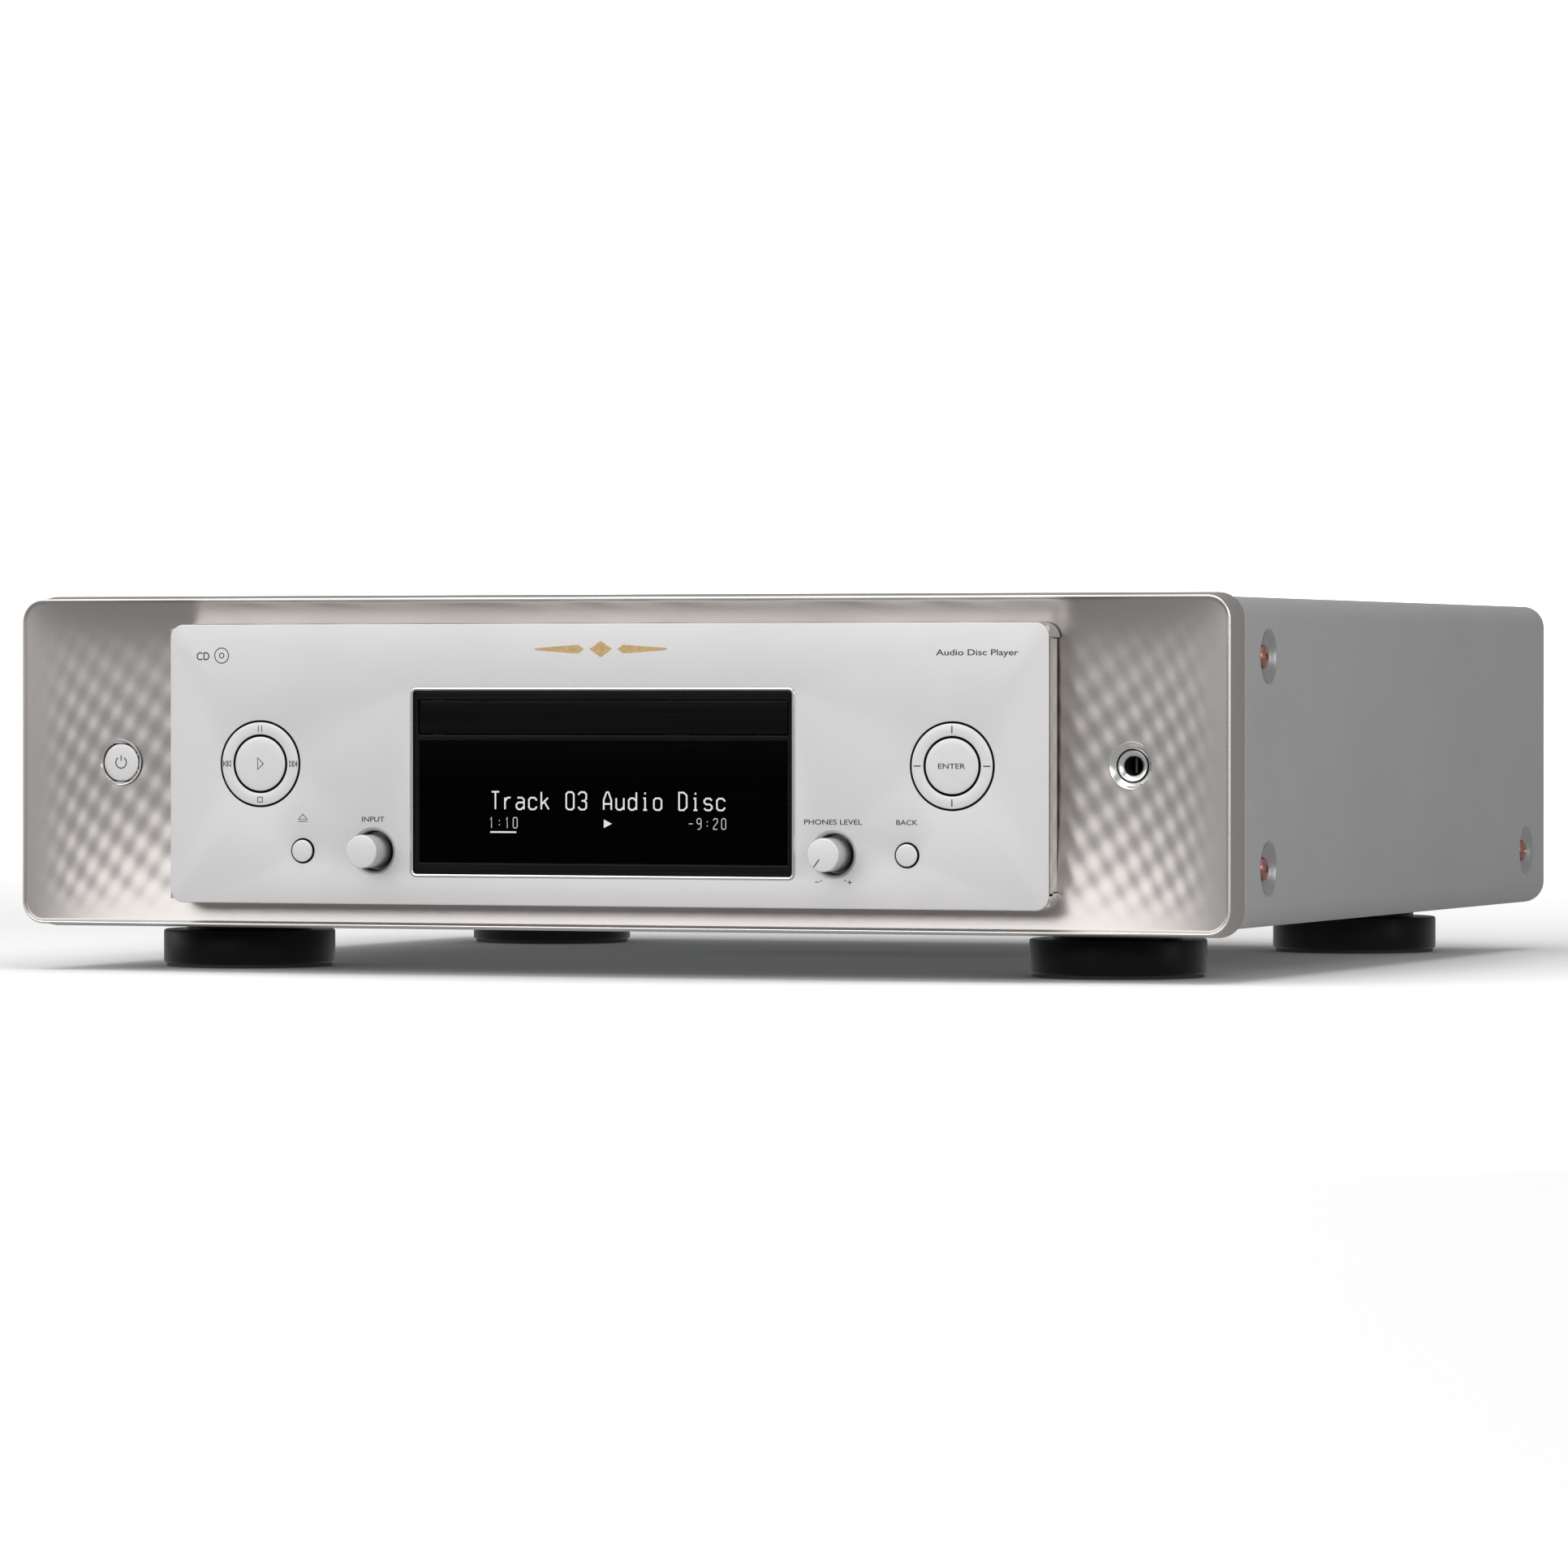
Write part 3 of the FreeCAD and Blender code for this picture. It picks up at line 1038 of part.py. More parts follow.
def drive_gear():
    """Two-step gear: a wide wheel driven by the pulley's pinion and a rack gear above it."""
    top = TRAY_LOW_Z + RACK_T
    wheel = polygon_z(gear_points(GEAR_MODULE, WHEEL_TEETH, DRIVE_X, DRIVE_Y, 0.0),
                      WHEEL_LOW_Z, WHEEL_TOP_Z)
    rack_gear = polygon_z(gear_points(RACK_MODULE, RACK_GEAR_TEETH, DRIVE_X, DRIVE_Y, 0.0),
                          TRAY_LOW_Z, top)
    hub = cyl_z(DRIVE_X, DRIVE_Y, HUB_R, HUB_LOW_Z, top)
    bore = cyl_z(DRIVE_X, DRIVE_Y, POST_R + PIN_PLAY, HUB_LOW_Z, top)
    return less(fused([wheel, rack_gear, hub]), [bore])


def belt_pulley(x, radius):
    """Drum for the belt between two thin rims."""
    parts = [cyl_z(x, DRIVE_Y, radius, PULLEY_LOW_Z, PULLEY_TOP_Z)]
    for z in (PULLEY_LOW_Z, PULLEY_TOP_Z - PULLEY_RIM_T):
        parts.append(cyl_z(x, DRIVE_Y, radius + PULLEY_RIM, z, z + PULLEY_RIM_T))
    return parts


def pulley_gear():
    """Large belt pulley with the pinion above it."""
    first_tooth = math.pi + math.pi / PINION_TEETH
    pinion = polygon_z(gear_points(GEAR_MODULE, PINION_TEETH, PULLEY_X, DRIVE_Y, first_tooth),
                       PULLEY_TOP_Z, WHEEL_TOP_Z)
    hub = cyl_z(PULLEY_X, DRIVE_Y, HUB_R, HUB_LOW_Z, PULLEY_LOW_Z)
    bore = cyl_z(PULLEY_X, DRIVE_Y, POST_R + PIN_PLAY, HUB_LOW_Z, WHEEL_TOP_Z)
    return less(fused([pinion, hub] + belt_pulley(PULLEY_X, PULLEY_R)), [bore])


def motor_pulley():
    bore = cyl_z(MOTOR_X, DRIVE_Y, MOTOR_SHAFT_R + PIN_PLAY, PULLEY_LOW_Z, PULLEY_TOP_Z)
    return less(fused(belt_pulley(MOTOR_X, MOTOR_PULLEY_R)), [bore])


def cam_slider():
    """Bar that slides across the loader, with a sloping slot that lowers the traverse's pin."""
    bar = box(-40.0, 16.0, CAM_Y, CAM_Y + CAM_T, FRAME_LOW_Z + 2.4, 74.0)
    r = CAM_PIN_R + CAM_PLAY
    low = V(-CAM_TRAVEL, CAM_Y, CAM_PIN_Z - CAM_DROP)
    slope = math.atan2(CAM_DROP, CAM_TRAVEL)
    dx = r * math.sin(slope)
    dz = r * math.cos(slope)
    band = polygon_y([(-dx, CAM_PIN_Z + dz), (low.x - dx, low.z + dz),
                      (low.x + dx, low.z - dz), (dx, CAM_PIN_Z - dz)], CAM_Y, CAM_Y + CAM_T)
    ends = [cyl_y(0.0, CAM_PIN_Z, r, CAM_Y, CAM_Y + CAM_T), cyl_y(low.x, low.z, r, CAM_Y, CAM_Y + CAM_T)]
    return less(bar, [band] + ends)


def traverse_plate():
    """Plate that carries the spindle and the pickup, hinged at the back on two pins."""
    front_y = DISC_Y - 18.0
    back_y = 4.0
    plate = box(-TRAVERSE_HALF_W, TRAVERSE_HALF_W, front_y, back_y, TRAVERSE_LOW_Z, TRAVERSE_TOP_Z)
    lip = box(-10.0, 10.0, front_y - 1.5, front_y, CAM_PIN_Z - 3.0, TRAVERSE_TOP_Z)
    pin = cyl_y(0.0, CAM_PIN_Z, CAM_PIN_R, CAM_Y - 0.4, front_y - 1.5)
    parts = [plate, lip, pin]
    for side in (-1, 1):
        arm = box(TRAVERSE_HALF_W - HINGE_ARM_T, TRAVERSE_HALF_W, back_y - 4.0, HINGE_Y + 4.0,
                  TRAVERSE_LOW_Z - 3.0, TRAVERSE_TOP_Z + 3.0)
        hinge_pin = cyl_x(HINGE_Y, HINGE_Z, HINGE_PIN_R, TRAVERSE_HALF_W, FRAME_IN_X + FRAME_WALL - 0.3)
        stands = [box(ROD_X - 2.8, ROD_X + 2.6, y, y + 4.0, TRAVERSE_TOP_Z, ROD_Z + 2.6)
                  for y in (ROD_FRONT_Y, ROD_BACK_Y - 4.0)]
        for piece in [arm, hinge_pin] + stands:
            parts.append(piece if side > 0 else mirrored(piece))
    cutters = rod_cylinders(ROD_R, ROD_FRONT_Y, ROD_BACK_Y)
    cutters.append(cyl_z(SLED_GEAR_X, SLED_GEAR_Y, 1.6, TRAVERSE_LOW_Z, TRAVERSE_TOP_Z))
    cutters.append(box(-16.0, 16.0, -98.0, -44.0, TRAVERSE_LOW_Z, TRAVERSE_TOP_Z))
    return less(fused(parts), cutters)


def rod_cylinders(radius, y0, y1):
    return both_sides(lambda side: cyl_y(side * ROD_X, ROD_Z, radius, y0, y1))


def guide_rods():
    return Part.makeCompound(rod_cylinders(ROD_R, ROD_FRONT_Y, ROD_BACK_Y))


def traverse_motors():
    """Spindle motor under the turntable and the small motor that drives the pickup."""
    spindle = fused([cyl_z(0.0, DISC_Y, 14.5, TRAVERSE_TOP_Z, 87.4),
                     cyl_z(0.0, DISC_Y, SPINDLE_R, 87.4, TURNTABLE_TOP_Z + 0.3)])
    sled = fused([cyl_z(SLED_GEAR_X, SLED_GEAR_Y, 8.0, 62.0, TRAVERSE_LOW_Z),
                  cyl_z(SLED_GEAR_X, SLED_GEAR_Y, SLED_SHAFT_R, TRAVERSE_LOW_Z, 83.4)])
    return Part.makeCompound([spindle, sled])


def pickup_sled():
    """Optical pickup on its two rods, with the lens in front and a rack on its right side."""
    block = box(-SLED_HALF_W, SLED_HALF_W, SLED_FRONT_Y, SLED_BACK_Y, SLED_LOW_Z, SLED_TOP_Z)
    lens_rim = cyl_z(0.0, LENS_Y, 4.4, SLED_TOP_Z, SLED_TOP_Z + 1.6)
    lens = cyl_z(0.0, LENS_Y, 2.6, SLED_TOP_Z + 1.6, SLED_TOP_Z + 2.2)
    pitch_x = SLED_GEAR_X - SLED_MODULE * SLED_GEAR_TEETH / 2
    teeth = rack(SLED_MODULE, pitch_x, SLED_GEAR_Y, SLED_FRONT_Y, SLED_BACK_Y + 24.0, SLED_HALF_W,
                 SLED_LOW_Z, SLED_LOW_Z + 2.8)
    rods = rod_cylinders(ROD_R + PIN_PLAY, SLED_FRONT_Y, SLED_BACK_Y)
    return less(fused([block, lens_rim, lens, teeth]), rods)


def sled_gear():
    low, top = SLED_LOW_Z + 0.2, SLED_LOW_Z + 2.7
    teeth = gear_points(SLED_MODULE, SLED_GEAR_TEETH, SLED_GEAR_X, SLED_GEAR_Y, math.pi)
    wheel = polygon_z(teeth, low, top)
    return wheel.cut(cyl_z(SLED_GEAR_X, SLED_GEAR_Y, SLED_SHAFT_R + PIN_PLAY, low, top))


def turntable():
    """Disc table with a hub and a centring cone, bored for the spindle."""
    low, hub_top = 88.0, TURNTABLE_TOP_Z + 1.6
    deck = cyl_z(0.0, DISC_Y, 16.0, low, TURNTABLE_TOP_Z)
    hub = cyl_z(0.0, DISC_Y, HUB_CONE_R, TURNTABLE_TOP_Z, hub_top)
    cone = Part.makeCone(HUB_CONE_R, 5.2, 1.4, V(0.0, DISC_Y, hub_top), Z_AXIS)
    return less(fused([deck, hub, cone]), [cyl_z(0.0, DISC_Y, SPINDLE_R + PIN_PLAY, low, low + 4.0)])


def clamper():
    """Round clamp that hangs in the bridge and grips the disc from above."""
    seat = BRIDGE_Z + BRIDGE_T + 0.3
    puck = cyl_z(0.0, DISC_Y, 13.0, TURNTABLE_TOP_Z + 3.6, seat)
    flange = cyl_z(0.0, DISC_Y, 18.0, seat, seat + 1.8)
    cap = cyl_z(0.0, DISC_Y, 9.0, seat + 1.8, seat + 2.8)
    return fused([puck, flange, cap])


PIECES = {
    "front_panel": front_panel,
    "fascia_plate": fascia_plate,
    "light_guides": light_guides,
    "window_trim": window_trim,
    "window_surround": window_surround,
    "display_window": display_window,
    "display_module": display_module,
    "front_bezels": front_bezels,
    "headphone_jack": headphone_jack,
    "control_carriers": carriers,
    "control_boards": control_boards,
    "tact_switches": tact_switches,
    "rotary_controls": rotary_controls,
    "front_subframe": front_subframe,
    "base_plate": base_plate,
    "top_cover": top_cover,
    "cover_screws": cover_screws,
    "rear_panel": rear_panel,
    "feet": feet,
    "foot_pads": foot_pads,
    "chassis_screws": chassis_screws,
    "rca_sockets": rca_sockets,
    "signal_sockets": signal_sockets,
    "data_sockets": data_sockets,
    "aerial_sockets": aerial_sockets,
    "power_inlet": power_inlet,
    "circuit_boards": circuit_boards,
    "board_components": board_components,
    "board_standoffs": board_standoffs,
    "shield_cover": shield_cover,
    "transformer": transformer,
    "loader_frame": loader_frame,
    "loader_brackets": loader_brackets,
    "clamp_bridge": clamp_bridge,
    "loading_motor": loading_motor,
    "drive_belt": drive_belt,
    "disc_tray": disc_tray,
    "tray_door": tray_door,
    "drive_gear": drive_gear,
    "pulley_gear": pulley_gear,
    "motor_pulley": motor_pulley,
    "cam_slider": cam_slider,
    "traverse_plate": traverse_plate,
    "guide_rods": guide_rods,
    "traverse_motors": traverse_motors,
    "pickup_sled": pickup_sled,
    "sled_gear": sled_gear,
    "turntable": turntable,
    "clamper": clamper,
    "transport_ring": lambda: ring_control(-1),
    "transport_gimbal": lambda: ring_gimbal(-1),
    "play_button": lambda: centre_button(-1),
    "nav_ring": lambda: ring_control(1),
    "nav_gimbal": lambda: ring_gimbal(1),
    "enter_button": lambda: centre_button(1),
    "eject_button": lambda: key_button(-1),
    "back_button": lambda: key_button(1),
    "power_button": power_button,
    "input_knob": lambda: Part.makeCompound([knob(-1), knob_shaft(-1)]),
    "level_knob": lambda: Part.makeCompound([knob(1), knob_shaft(1)]),
}


def main():
    os.makedirs("parts", exist_ok=True)
    for name, make in PIECES.items():
        shape = make()
        shape.exportStep("parts/" + name + ".step")
        print(name, len(shape.Solids), shape.isValid())


main()
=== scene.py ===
"""Looks of the disc player: metal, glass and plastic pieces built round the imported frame, in metres."""
import bpy
import bmesh
import json
import math
from mathutils import Matrix, Vector


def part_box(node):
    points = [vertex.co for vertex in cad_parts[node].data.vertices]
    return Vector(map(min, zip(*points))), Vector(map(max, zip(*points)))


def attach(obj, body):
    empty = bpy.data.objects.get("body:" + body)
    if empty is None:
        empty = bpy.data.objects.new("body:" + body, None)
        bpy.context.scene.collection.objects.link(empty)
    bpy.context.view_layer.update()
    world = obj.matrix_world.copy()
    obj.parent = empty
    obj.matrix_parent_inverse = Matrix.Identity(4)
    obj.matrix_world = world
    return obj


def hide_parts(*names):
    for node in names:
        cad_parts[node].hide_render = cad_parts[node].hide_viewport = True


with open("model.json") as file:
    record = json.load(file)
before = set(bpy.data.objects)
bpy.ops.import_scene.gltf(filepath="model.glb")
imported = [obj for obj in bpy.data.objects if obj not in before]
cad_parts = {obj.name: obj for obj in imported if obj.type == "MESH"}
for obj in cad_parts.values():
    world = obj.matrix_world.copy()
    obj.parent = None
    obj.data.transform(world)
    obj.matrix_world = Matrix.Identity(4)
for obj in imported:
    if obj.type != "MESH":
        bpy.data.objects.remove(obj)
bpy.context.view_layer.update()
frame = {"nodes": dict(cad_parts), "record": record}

MM = 0.001
TAU = 2 * math.pi

# Places taken from the frame -----------------------------------------------------------

PANEL_LO, PANEL_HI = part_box("front_panel")
PLATE_LO, PLATE_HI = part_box("fascia_plate")
TRIM_LO, TRIM_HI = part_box("window_trim")
SCREEN_LO, SCREEN_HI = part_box("display_window")
DOOR_LO, DOOR_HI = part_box("tray_door")
COVER_LO, COVER_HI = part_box("top_cover")
RIM_Y = PANEL_LO[1]
PANEL_BACK_Y = PANEL_HI[1]
PLATE_Y = PLATE_LO[1]
PANEL_X = PANEL_HI[0]
RIM_TAPER = 1.5 * MM


def middle(node):
    """(x, z) of the middle of a CAD node seen from the front."""
    low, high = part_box(node)
    return (low[0] + high[0]) / 2, (low[2] + high[2]) / 2


RING_X, RING_Z = middle("nav_ring")
KEY_X, KEY_Z = middle("back_button")
KNOB_X, KNOB_Z = middle("level_knob")
WING_X, WING_Z = middle("headphone_jack")
SEAT_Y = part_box("front_bezels")[0][1] + 1.6 * MM     # bezels' front edges, flush with the wings
POWER_Y = SEAT_Y + 0.8 * MM                          # power button's face, inside its bezel


# Materials -----------------------------------------------------------------------------

class Nodes:
    """A short way to build one material's node tree."""

    def __init__(self, name):
        self.material = bpy.data.materials.new(name)
        self.material.use_nodes = True
        self.tree = self.material.node_tree
        self.shader = next(n for n in self.tree.nodes if n.type == "BSDF_PRINCIPLED")
        self.place = self.tree.nodes.new("ShaderNodeTexCoord").outputs["Object"]

    def add(self, kind, inputs=None, **settings):
        node = self.tree.nodes.new(kind)
        for key, value in settings.items():
            setattr(node, key, value)
        for key, value in (inputs or {}).items():
            if isinstance(value, bpy.types.NodeSocket):
                self.tree.links.new(value, node.inputs[key])
            else:
                node.inputs[key].default_value = value
        return node

    def set(self, **values):
        for key, value in values.items():
            name = key.replace("_", " ")
            if isinstance(value, bpy.types.NodeSocket):
                self.tree.links.new(value, self.shader.inputs[name])
            else:
                self.shader.inputs[name].default_value = value

    def stretched(self, scale):
        """Object coordinates in metres, stretched along each axis by scale."""
        return self.add("ShaderNodeMapping", {"Vector": self.place, "Scale": scale}).outputs[0]

    def noise(self, scale, detail=3.0, rough=0.55, vector=None):
        node = self.add("ShaderNodeTexNoise", {"Vector": vector or self.place, "Scale": scale,
                                               "Detail": detail, "Roughness": rough})
        return node.outputs["Fac"]

    def ramp(self, value, low, high, start=0.3, end=0.7):
        """Value read through a linear ramp between two numbers."""
        node = self.add("ShaderNodeMapRange", {"Value": value, "From Min": start, "From Max": end,
                                               "To Min": low, "To Max": high})
        return node.outputs[0]

    def colours(self, value, stops):
        node = self.add("ShaderNodeValToRGB", {"Fac": value})
        band = node.color_ramp.elements
        while len(band) < len(stops):
            band.new(0.5)
        for element, (spot, colour) in zip(band, stops):
            element.position = spot
            element.color = (*colour, 1)
        return node.outputs["Color"]

    def bump(self, height, strength, distance):
        node = self.add("ShaderNodeBump", {"Height": height, "Strength": strength, "Distance": distance})
        self.tree.links.new(node.outputs[0], self.shader.inputs["Normal"])


def shade(colour, factor):
    return tuple(min(1.0, c * factor) for c in colour)


def blasted_metal(name, colour, metallic, rough, grain, depth):
    """Anodised or painted metal with a fine even grain and a slow drift of tone."""
    m = Nodes(name)
    slow = m.noise(18.0, 2.0)
    fine = m.noise(grain, 4.0, 0.6)
    tone = m.add("ShaderNodeMath", {0: slow, 1: fine}, operation="ADD").outputs[0]
    half = m.add("ShaderNodeMath", {0: tone, 1: 0.5}, operation="MULTIPLY").outputs[0]
    m.set(Base_Color=m.colours(half, [(0.32, shade(colour, 0.95)), (0.68, shade(colour, 1.05))]),
          Metallic=metallic, Roughness=m.ramp(fine, rough - 0.05, rough + 0.05))
    m.bump(fine, 0.35, depth)
    return m.material


def polished_metal(name, colour, rough):
    m = Nodes(name)
    smear = m.noise(900.0, 3.0)
    m.set(Base_Color=m.colours(smear, [(0.3, shade(colour, 0.97)), (0.7, colour)]), Metallic=1.0,
          Roughness=m.ramp(smear, rough * 0.88, rough * 1.12))
    return m.material


def brushed_metal(name, colour, rough, stretch):
    m = Nodes(name)
    lines = m.noise(1.0, 4.0, 0.65, m.stretched(stretch))
    m.set(Base_Color=m.colours(lines, [(0.25, shade(colour, 0.86)), (0.75, shade(colour, 1.08))]),
          Metallic=1.0, Roughness=m.ramp(lines, rough - 0.08, rough + 0.1))
    m.bump(lines, 0.25, 0.00004)
    return m.material


def plastic(name, colour, rough, grain=2600.0, depth=0.00003, coat=0.0):
    """Moulded plastic with a fine grain, faint flow marks and a little wear in its gloss."""
    m = Nodes(name)
    flow = m.noise(40.0, 2.0)
    fine = m.noise(grain, 3.0)
    m.set(Base_Color=m.colours(flow, [(0.3, shade(colour, 0.9)), (0.7, shade(colour, 1.1))]),
          Roughness=m.ramp(fine, rough * 0.85, rough * 1.15), Coat_Weight=coat, Coat_Roughness=0.08)
    m.bump(fine, 0.3, depth)
    return m.material


def painted_glow_edge(name, colour, strength):
    """Frosted metal edge with a faint warm glow painted on it as emission, standing in for the light of the
    hidden lamps.
    """
    m = Nodes(name)
    fine = m.noise(2600.0, 3.0)
    m.set(Base_Color=m.colours(fine, [(0.3, shade(colour, 0.94)), (0.7, shade(colour, 1.04))]), Metallic=0.6,
          Roughness=m.ramp(fine, 0.3, 0.4), Emission_Color=(1.0, 0.89, 0.79, 1.0),
          Emission_Strength=m.ramp(fine, strength * 0.9, strength * 1.1))
    return m.material


def gloss_black(name, colour, rough, streak, gloss):
    """Smoked front glass: deep black with a barely seen brushed figure below the gloss."""
    m = Nodes(name)
    lines = m.noise(1.0, 3.0, 0.6, m.stretched(streak))
    dust = m.noise(900.0, 2.0)
    m.set(Base_Color=m.colours(lines, [(0.3, shade(colour, 0.6)), (0.7, shade(colour, 1.6))]),
          Roughness=m.ramp(dust, rough, rough + 0.05), Specular_IOR_Level=gloss)
    return m.material


def glowing(name, colour, strength):
    """Lit display segments with a slight unevenness of their light."""
    m = Nodes(name)
    drift = m.noise(300.0, 1.0)
    m.set(Base_Color=(0.0, 0.0, 0.0, 1.0), Roughness=0.8, Emission_Strength=strength,
          Emission_Color=m.colours(drift, [(0.3, shade(colour, 0.93)), (0.7, colour)]))
    return m.material


def stage_white(name, near_glow, far_glow):
    """Pale paper with a painted shadow, darker near the object, and a painted glow that clears it to white
    away from the object.
    """
    m = Nodes(name)
    fibres = m.noise(80.0, 2.0)
    far = m.add("ShaderNodeSeparateXYZ", {0: m.place}).outputs["Y"]
    reach = m.add("ShaderNodeVectorMath", {0: m.place}, operation="LENGTH").outputs["Value"]
    # Painted shadow: the base colour darkens within about 0.27 m of the object. Painted light: the emission
    # rises from zero near the object to the far glow behind it and towards the front.
    m.set(Base_Color=m.colours(reach, [(0.15, (0.55, 0.55, 0.55)), (0.27, (0.85, 0.85, 0.85))]),
          Roughness=m.ramp(fibres, 0.85, 0.95), Specular_IOR_Level=0.0, Emission_Color=(1.0, 1.0, 1.0, 1.0),
          Emission_Strength=m.add("ShaderNodeMath", {0: m.ramp(far, near_glow, far_glow, 0.3, 2.2),
                                                     1: m.ramp(far, 0.5, 0.0, -3.0, -0.55)}).outputs[0])
    return m.material


CHAMPAGNE = blasted_metal("champagne metal", (0.43, 0.405, 0.39), 1.0, 0.33, 3000.0, 0.00002)
PLATE_METAL = blasted_metal("plate aluminium", (0.55, 0.54, 0.545), 0.30, 0.48, 2600.0, 0.00003)
CONTROL_METAL = blasted_metal("control aluminium", (0.60, 0.59, 0.595), 0.35, 0.36, 4200.0, 0.00001)
# Warm emission on the plate's set-back side wall: painted light, no lamp.
GLOW_PAINTED_SIDE = painted_glow_edge("plate edge with painted glow", (0.62, 0.59, 0.56), 0.085)
PLATE_SIDE = blasted_metal("plate side", (0.75, 0.74, 0.73), 0.8, 0.32, 2600.0, 0.00002)
CHROME = polished_metal("bright trim", (0.78, 0.78, 0.78), 0.12)
TURNED = polished_metal("turned trim", (0.74, 0.74, 0.735), 0.24)
COVER_PAINT = blasted_metal("cover paint", (0.265, 0.265, 0.27), 0.1, 0.46, 2200.0, 0.00005)
PRESSED_METAL = blasted_metal("pressed dish", (0.40, 0.40, 0.405), 0.95, 0.30, 2200.0, 0.00002)
REAR_PAINT = blasted_metal("rear paint", (0.03, 0.03, 0.03), 0.1, 0.5, 2400.0, 0.00005)
COPPER = blasted_metal("copper screw", (0.36, 0.165, 0.135), 0.9, 0.30, 3000.0, 0.00003)
FOOT_BLACK = blasted_metal("black turned foot", (0.004, 0.004, 0.0046), 0.75, 0.36, 2600.0, 0.00002)
GLOSS_FRAME = gloss_black("gloss black frame", (0.005, 0.005, 0.0055), 0.10, (14.0, 14.0, 1400.0), 0.08)
SCREEN_GLASS = gloss_black("display glass", (0.0004, 0.0004, 0.0005), 0.16, (14.0, 14.0, 1400.0), 0.01)
DOOR_GLASS = gloss_black("tray front", (0.0035, 0.0035, 0.004), 0.14, (10.0, 10.0, 2400.0), 0.02)
GLASS_EDGE = gloss_black("polished glass edge", (0.035, 0.035, 0.037), 0.16, (14.0, 14.0, 1400.0), 0.6)
ENGRAVED = plastic("engraved line", (0.10, 0.10, 0.10), 0.6)
INK = plastic("grey print", (0.028, 0.028, 0.03), 0.6)
# Near-black painted shade for gaps, hole walls, notches and bores; on the jack's body it also stands for the
# body's own black plastic.
SHADE_BLACK = plastic("black painted shade", (0.006, 0.006, 0.006), 0.7)
CUP_MOUTH = blasted_metal("knob recess mouth", (0.42, 0.415, 0.41), 0.65, 0.36, 3600.0, 0.00002)
# Darker copy of the recess metal: painted shade deep in the knob recesses.
RECESS_SHADE_METAL = blasted_metal("knob recess", (0.16, 0.157, 0.155), 0.9, 0.34, 3600.0, 0.00002)
KNOB_SIDE = blasted_metal("turned knob side", (0.66, 0.655, 0.65), 0.9, 0.30, 4200.0, 0.00001)
RIM_SIDE = blasted_metal("champagne rim", (0.43, 0.40, 0.375), 1.0, 0.34, 3000.0, 0.00002)
# Much lighter than the champagne: a polished edge, partly a painted highlight.
RIM_PAINTED_HIGHLIGHT = blasted_metal("polished rim edge, painted highlight", (0.82, 0.80, 0.78), 1.0, 0.30, 3000.0, 0.00001)
GOLD = polished_metal("gold inlay", (0.70, 0.50, 0.24), 0.28)
LIT = glowing("lit display", (0.80, 0.81, 0.82), 0.95)
LIT_DIM = glowing("lit display thin", (0.74, 0.75, 0.76), 0.75)
CLEAR_GUIDE = plastic("frosted guide", (0.45, 0.44, 0.42), 0.35)
ZINC = brushed_metal("zinc steel", (0.55, 0.56, 0.56), 0.34, (30.0, 900.0, 30.0))
BRIGHT_STEEL = brushed_metal("bright steel", (0.62, 0.62, 0.62), 0.22, (40.0, 40.0, 900.0))
BLACK_PLASTIC = plastic("black plastic", (0.022, 0.022, 0.024), 0.45)
WHITE_PLASTIC = plastic("white plastic", (0.72, 0.71, 0.67), 0.4, coat=0.1)
RUBBER = plastic("rubber", (0.018, 0.018, 0.018), 0.75, 1800.0, 0.00008)
BOARD = plastic("circuit board", (0.012, 0.10, 0.045), 0.35, 1500.0, 0.00006, 0.3)
COMPONENT = plastic("component can", (0.035, 0.032, 0.035), 0.35)
COPPER_SHIELD = blasted_metal("copper shield", (0.60, 0.30, 0.19), 0.9, 0.4, 1500.0, 0.00005)
WINDING = plastic("winding tape", (0.42, 0.22, 0.04), 0.4, 900.0, 0.0001, 0.3)
GOLD_PLATE = polished_metal("gold plate", (0.76, 0.56, 0.24), 0.2)
# The floor's darker middle is painted shadow, and its glow away from the object is painted light.
FLOOR = stage_white("studio floor", 0.0, 0.9)
BACKDROP = stage_white("studio backdrop", 1.0, 1.0)

CAD_FINISH = {"champagne_panel": CHAMPAGNE, "silver_plate": PLATE_METAL, "silver_control": CONTROL_METAL,
              "bright_trim": CHROME, "black_window": GLOSS_FRAME, "clear_guide": CLEAR_GUIDE,
              "cover_paint": COVER_PAINT, "rear_paint": REAR_PAINT, "zinc_steel": ZINC,
              "copper_screw": COPPER, "black_foot": FOOT_BLACK, "rubber": RUBBER,
              "black_plastic": BLACK_PLASTIC, "white_plastic": WHITE_PLASTIC, "circuit_board": BOARD,
              "component_can": COMPONENT, "copper_shield": COPPER_SHIELD, "winding": WINDING,
              "gold_plate": GOLD_PLATE, "bright_steel": BRIGHT_STEEL}


# Mesh helpers --------------------------------------------------------------------------

def placed(name, mesh, material, body):
    """Makes an object of a mesh, in one material, that rides on a body."""
    mesh.materials.append(material)
    piece = bpy.data.objects.new(name, mesh)
    bpy.context.scene.collection.objects.link(piece)
    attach(piece, body)
    return piece


def finished(bm, name, material, body="chassis", sharp=32.0):
    """Turns a bmesh into an object that rides on a body, smooth apart from its sharp edges."""
    bmesh.ops.remove_doubles(bm, verts=bm.verts, dist=1e-7)
    bmesh.ops.recalc_face_normals(bm, faces=bm.faces)
    mesh = bpy.data.meshes.new(name)
    bm.to_mesh(mesh)
    bm.free()
    for polygon in mesh.polygons:
        polygon.use_smooth = True
    mesh.set_sharp_from_angle(angle=math.radians(sharp))
    return placed(name, mesh, material, body)


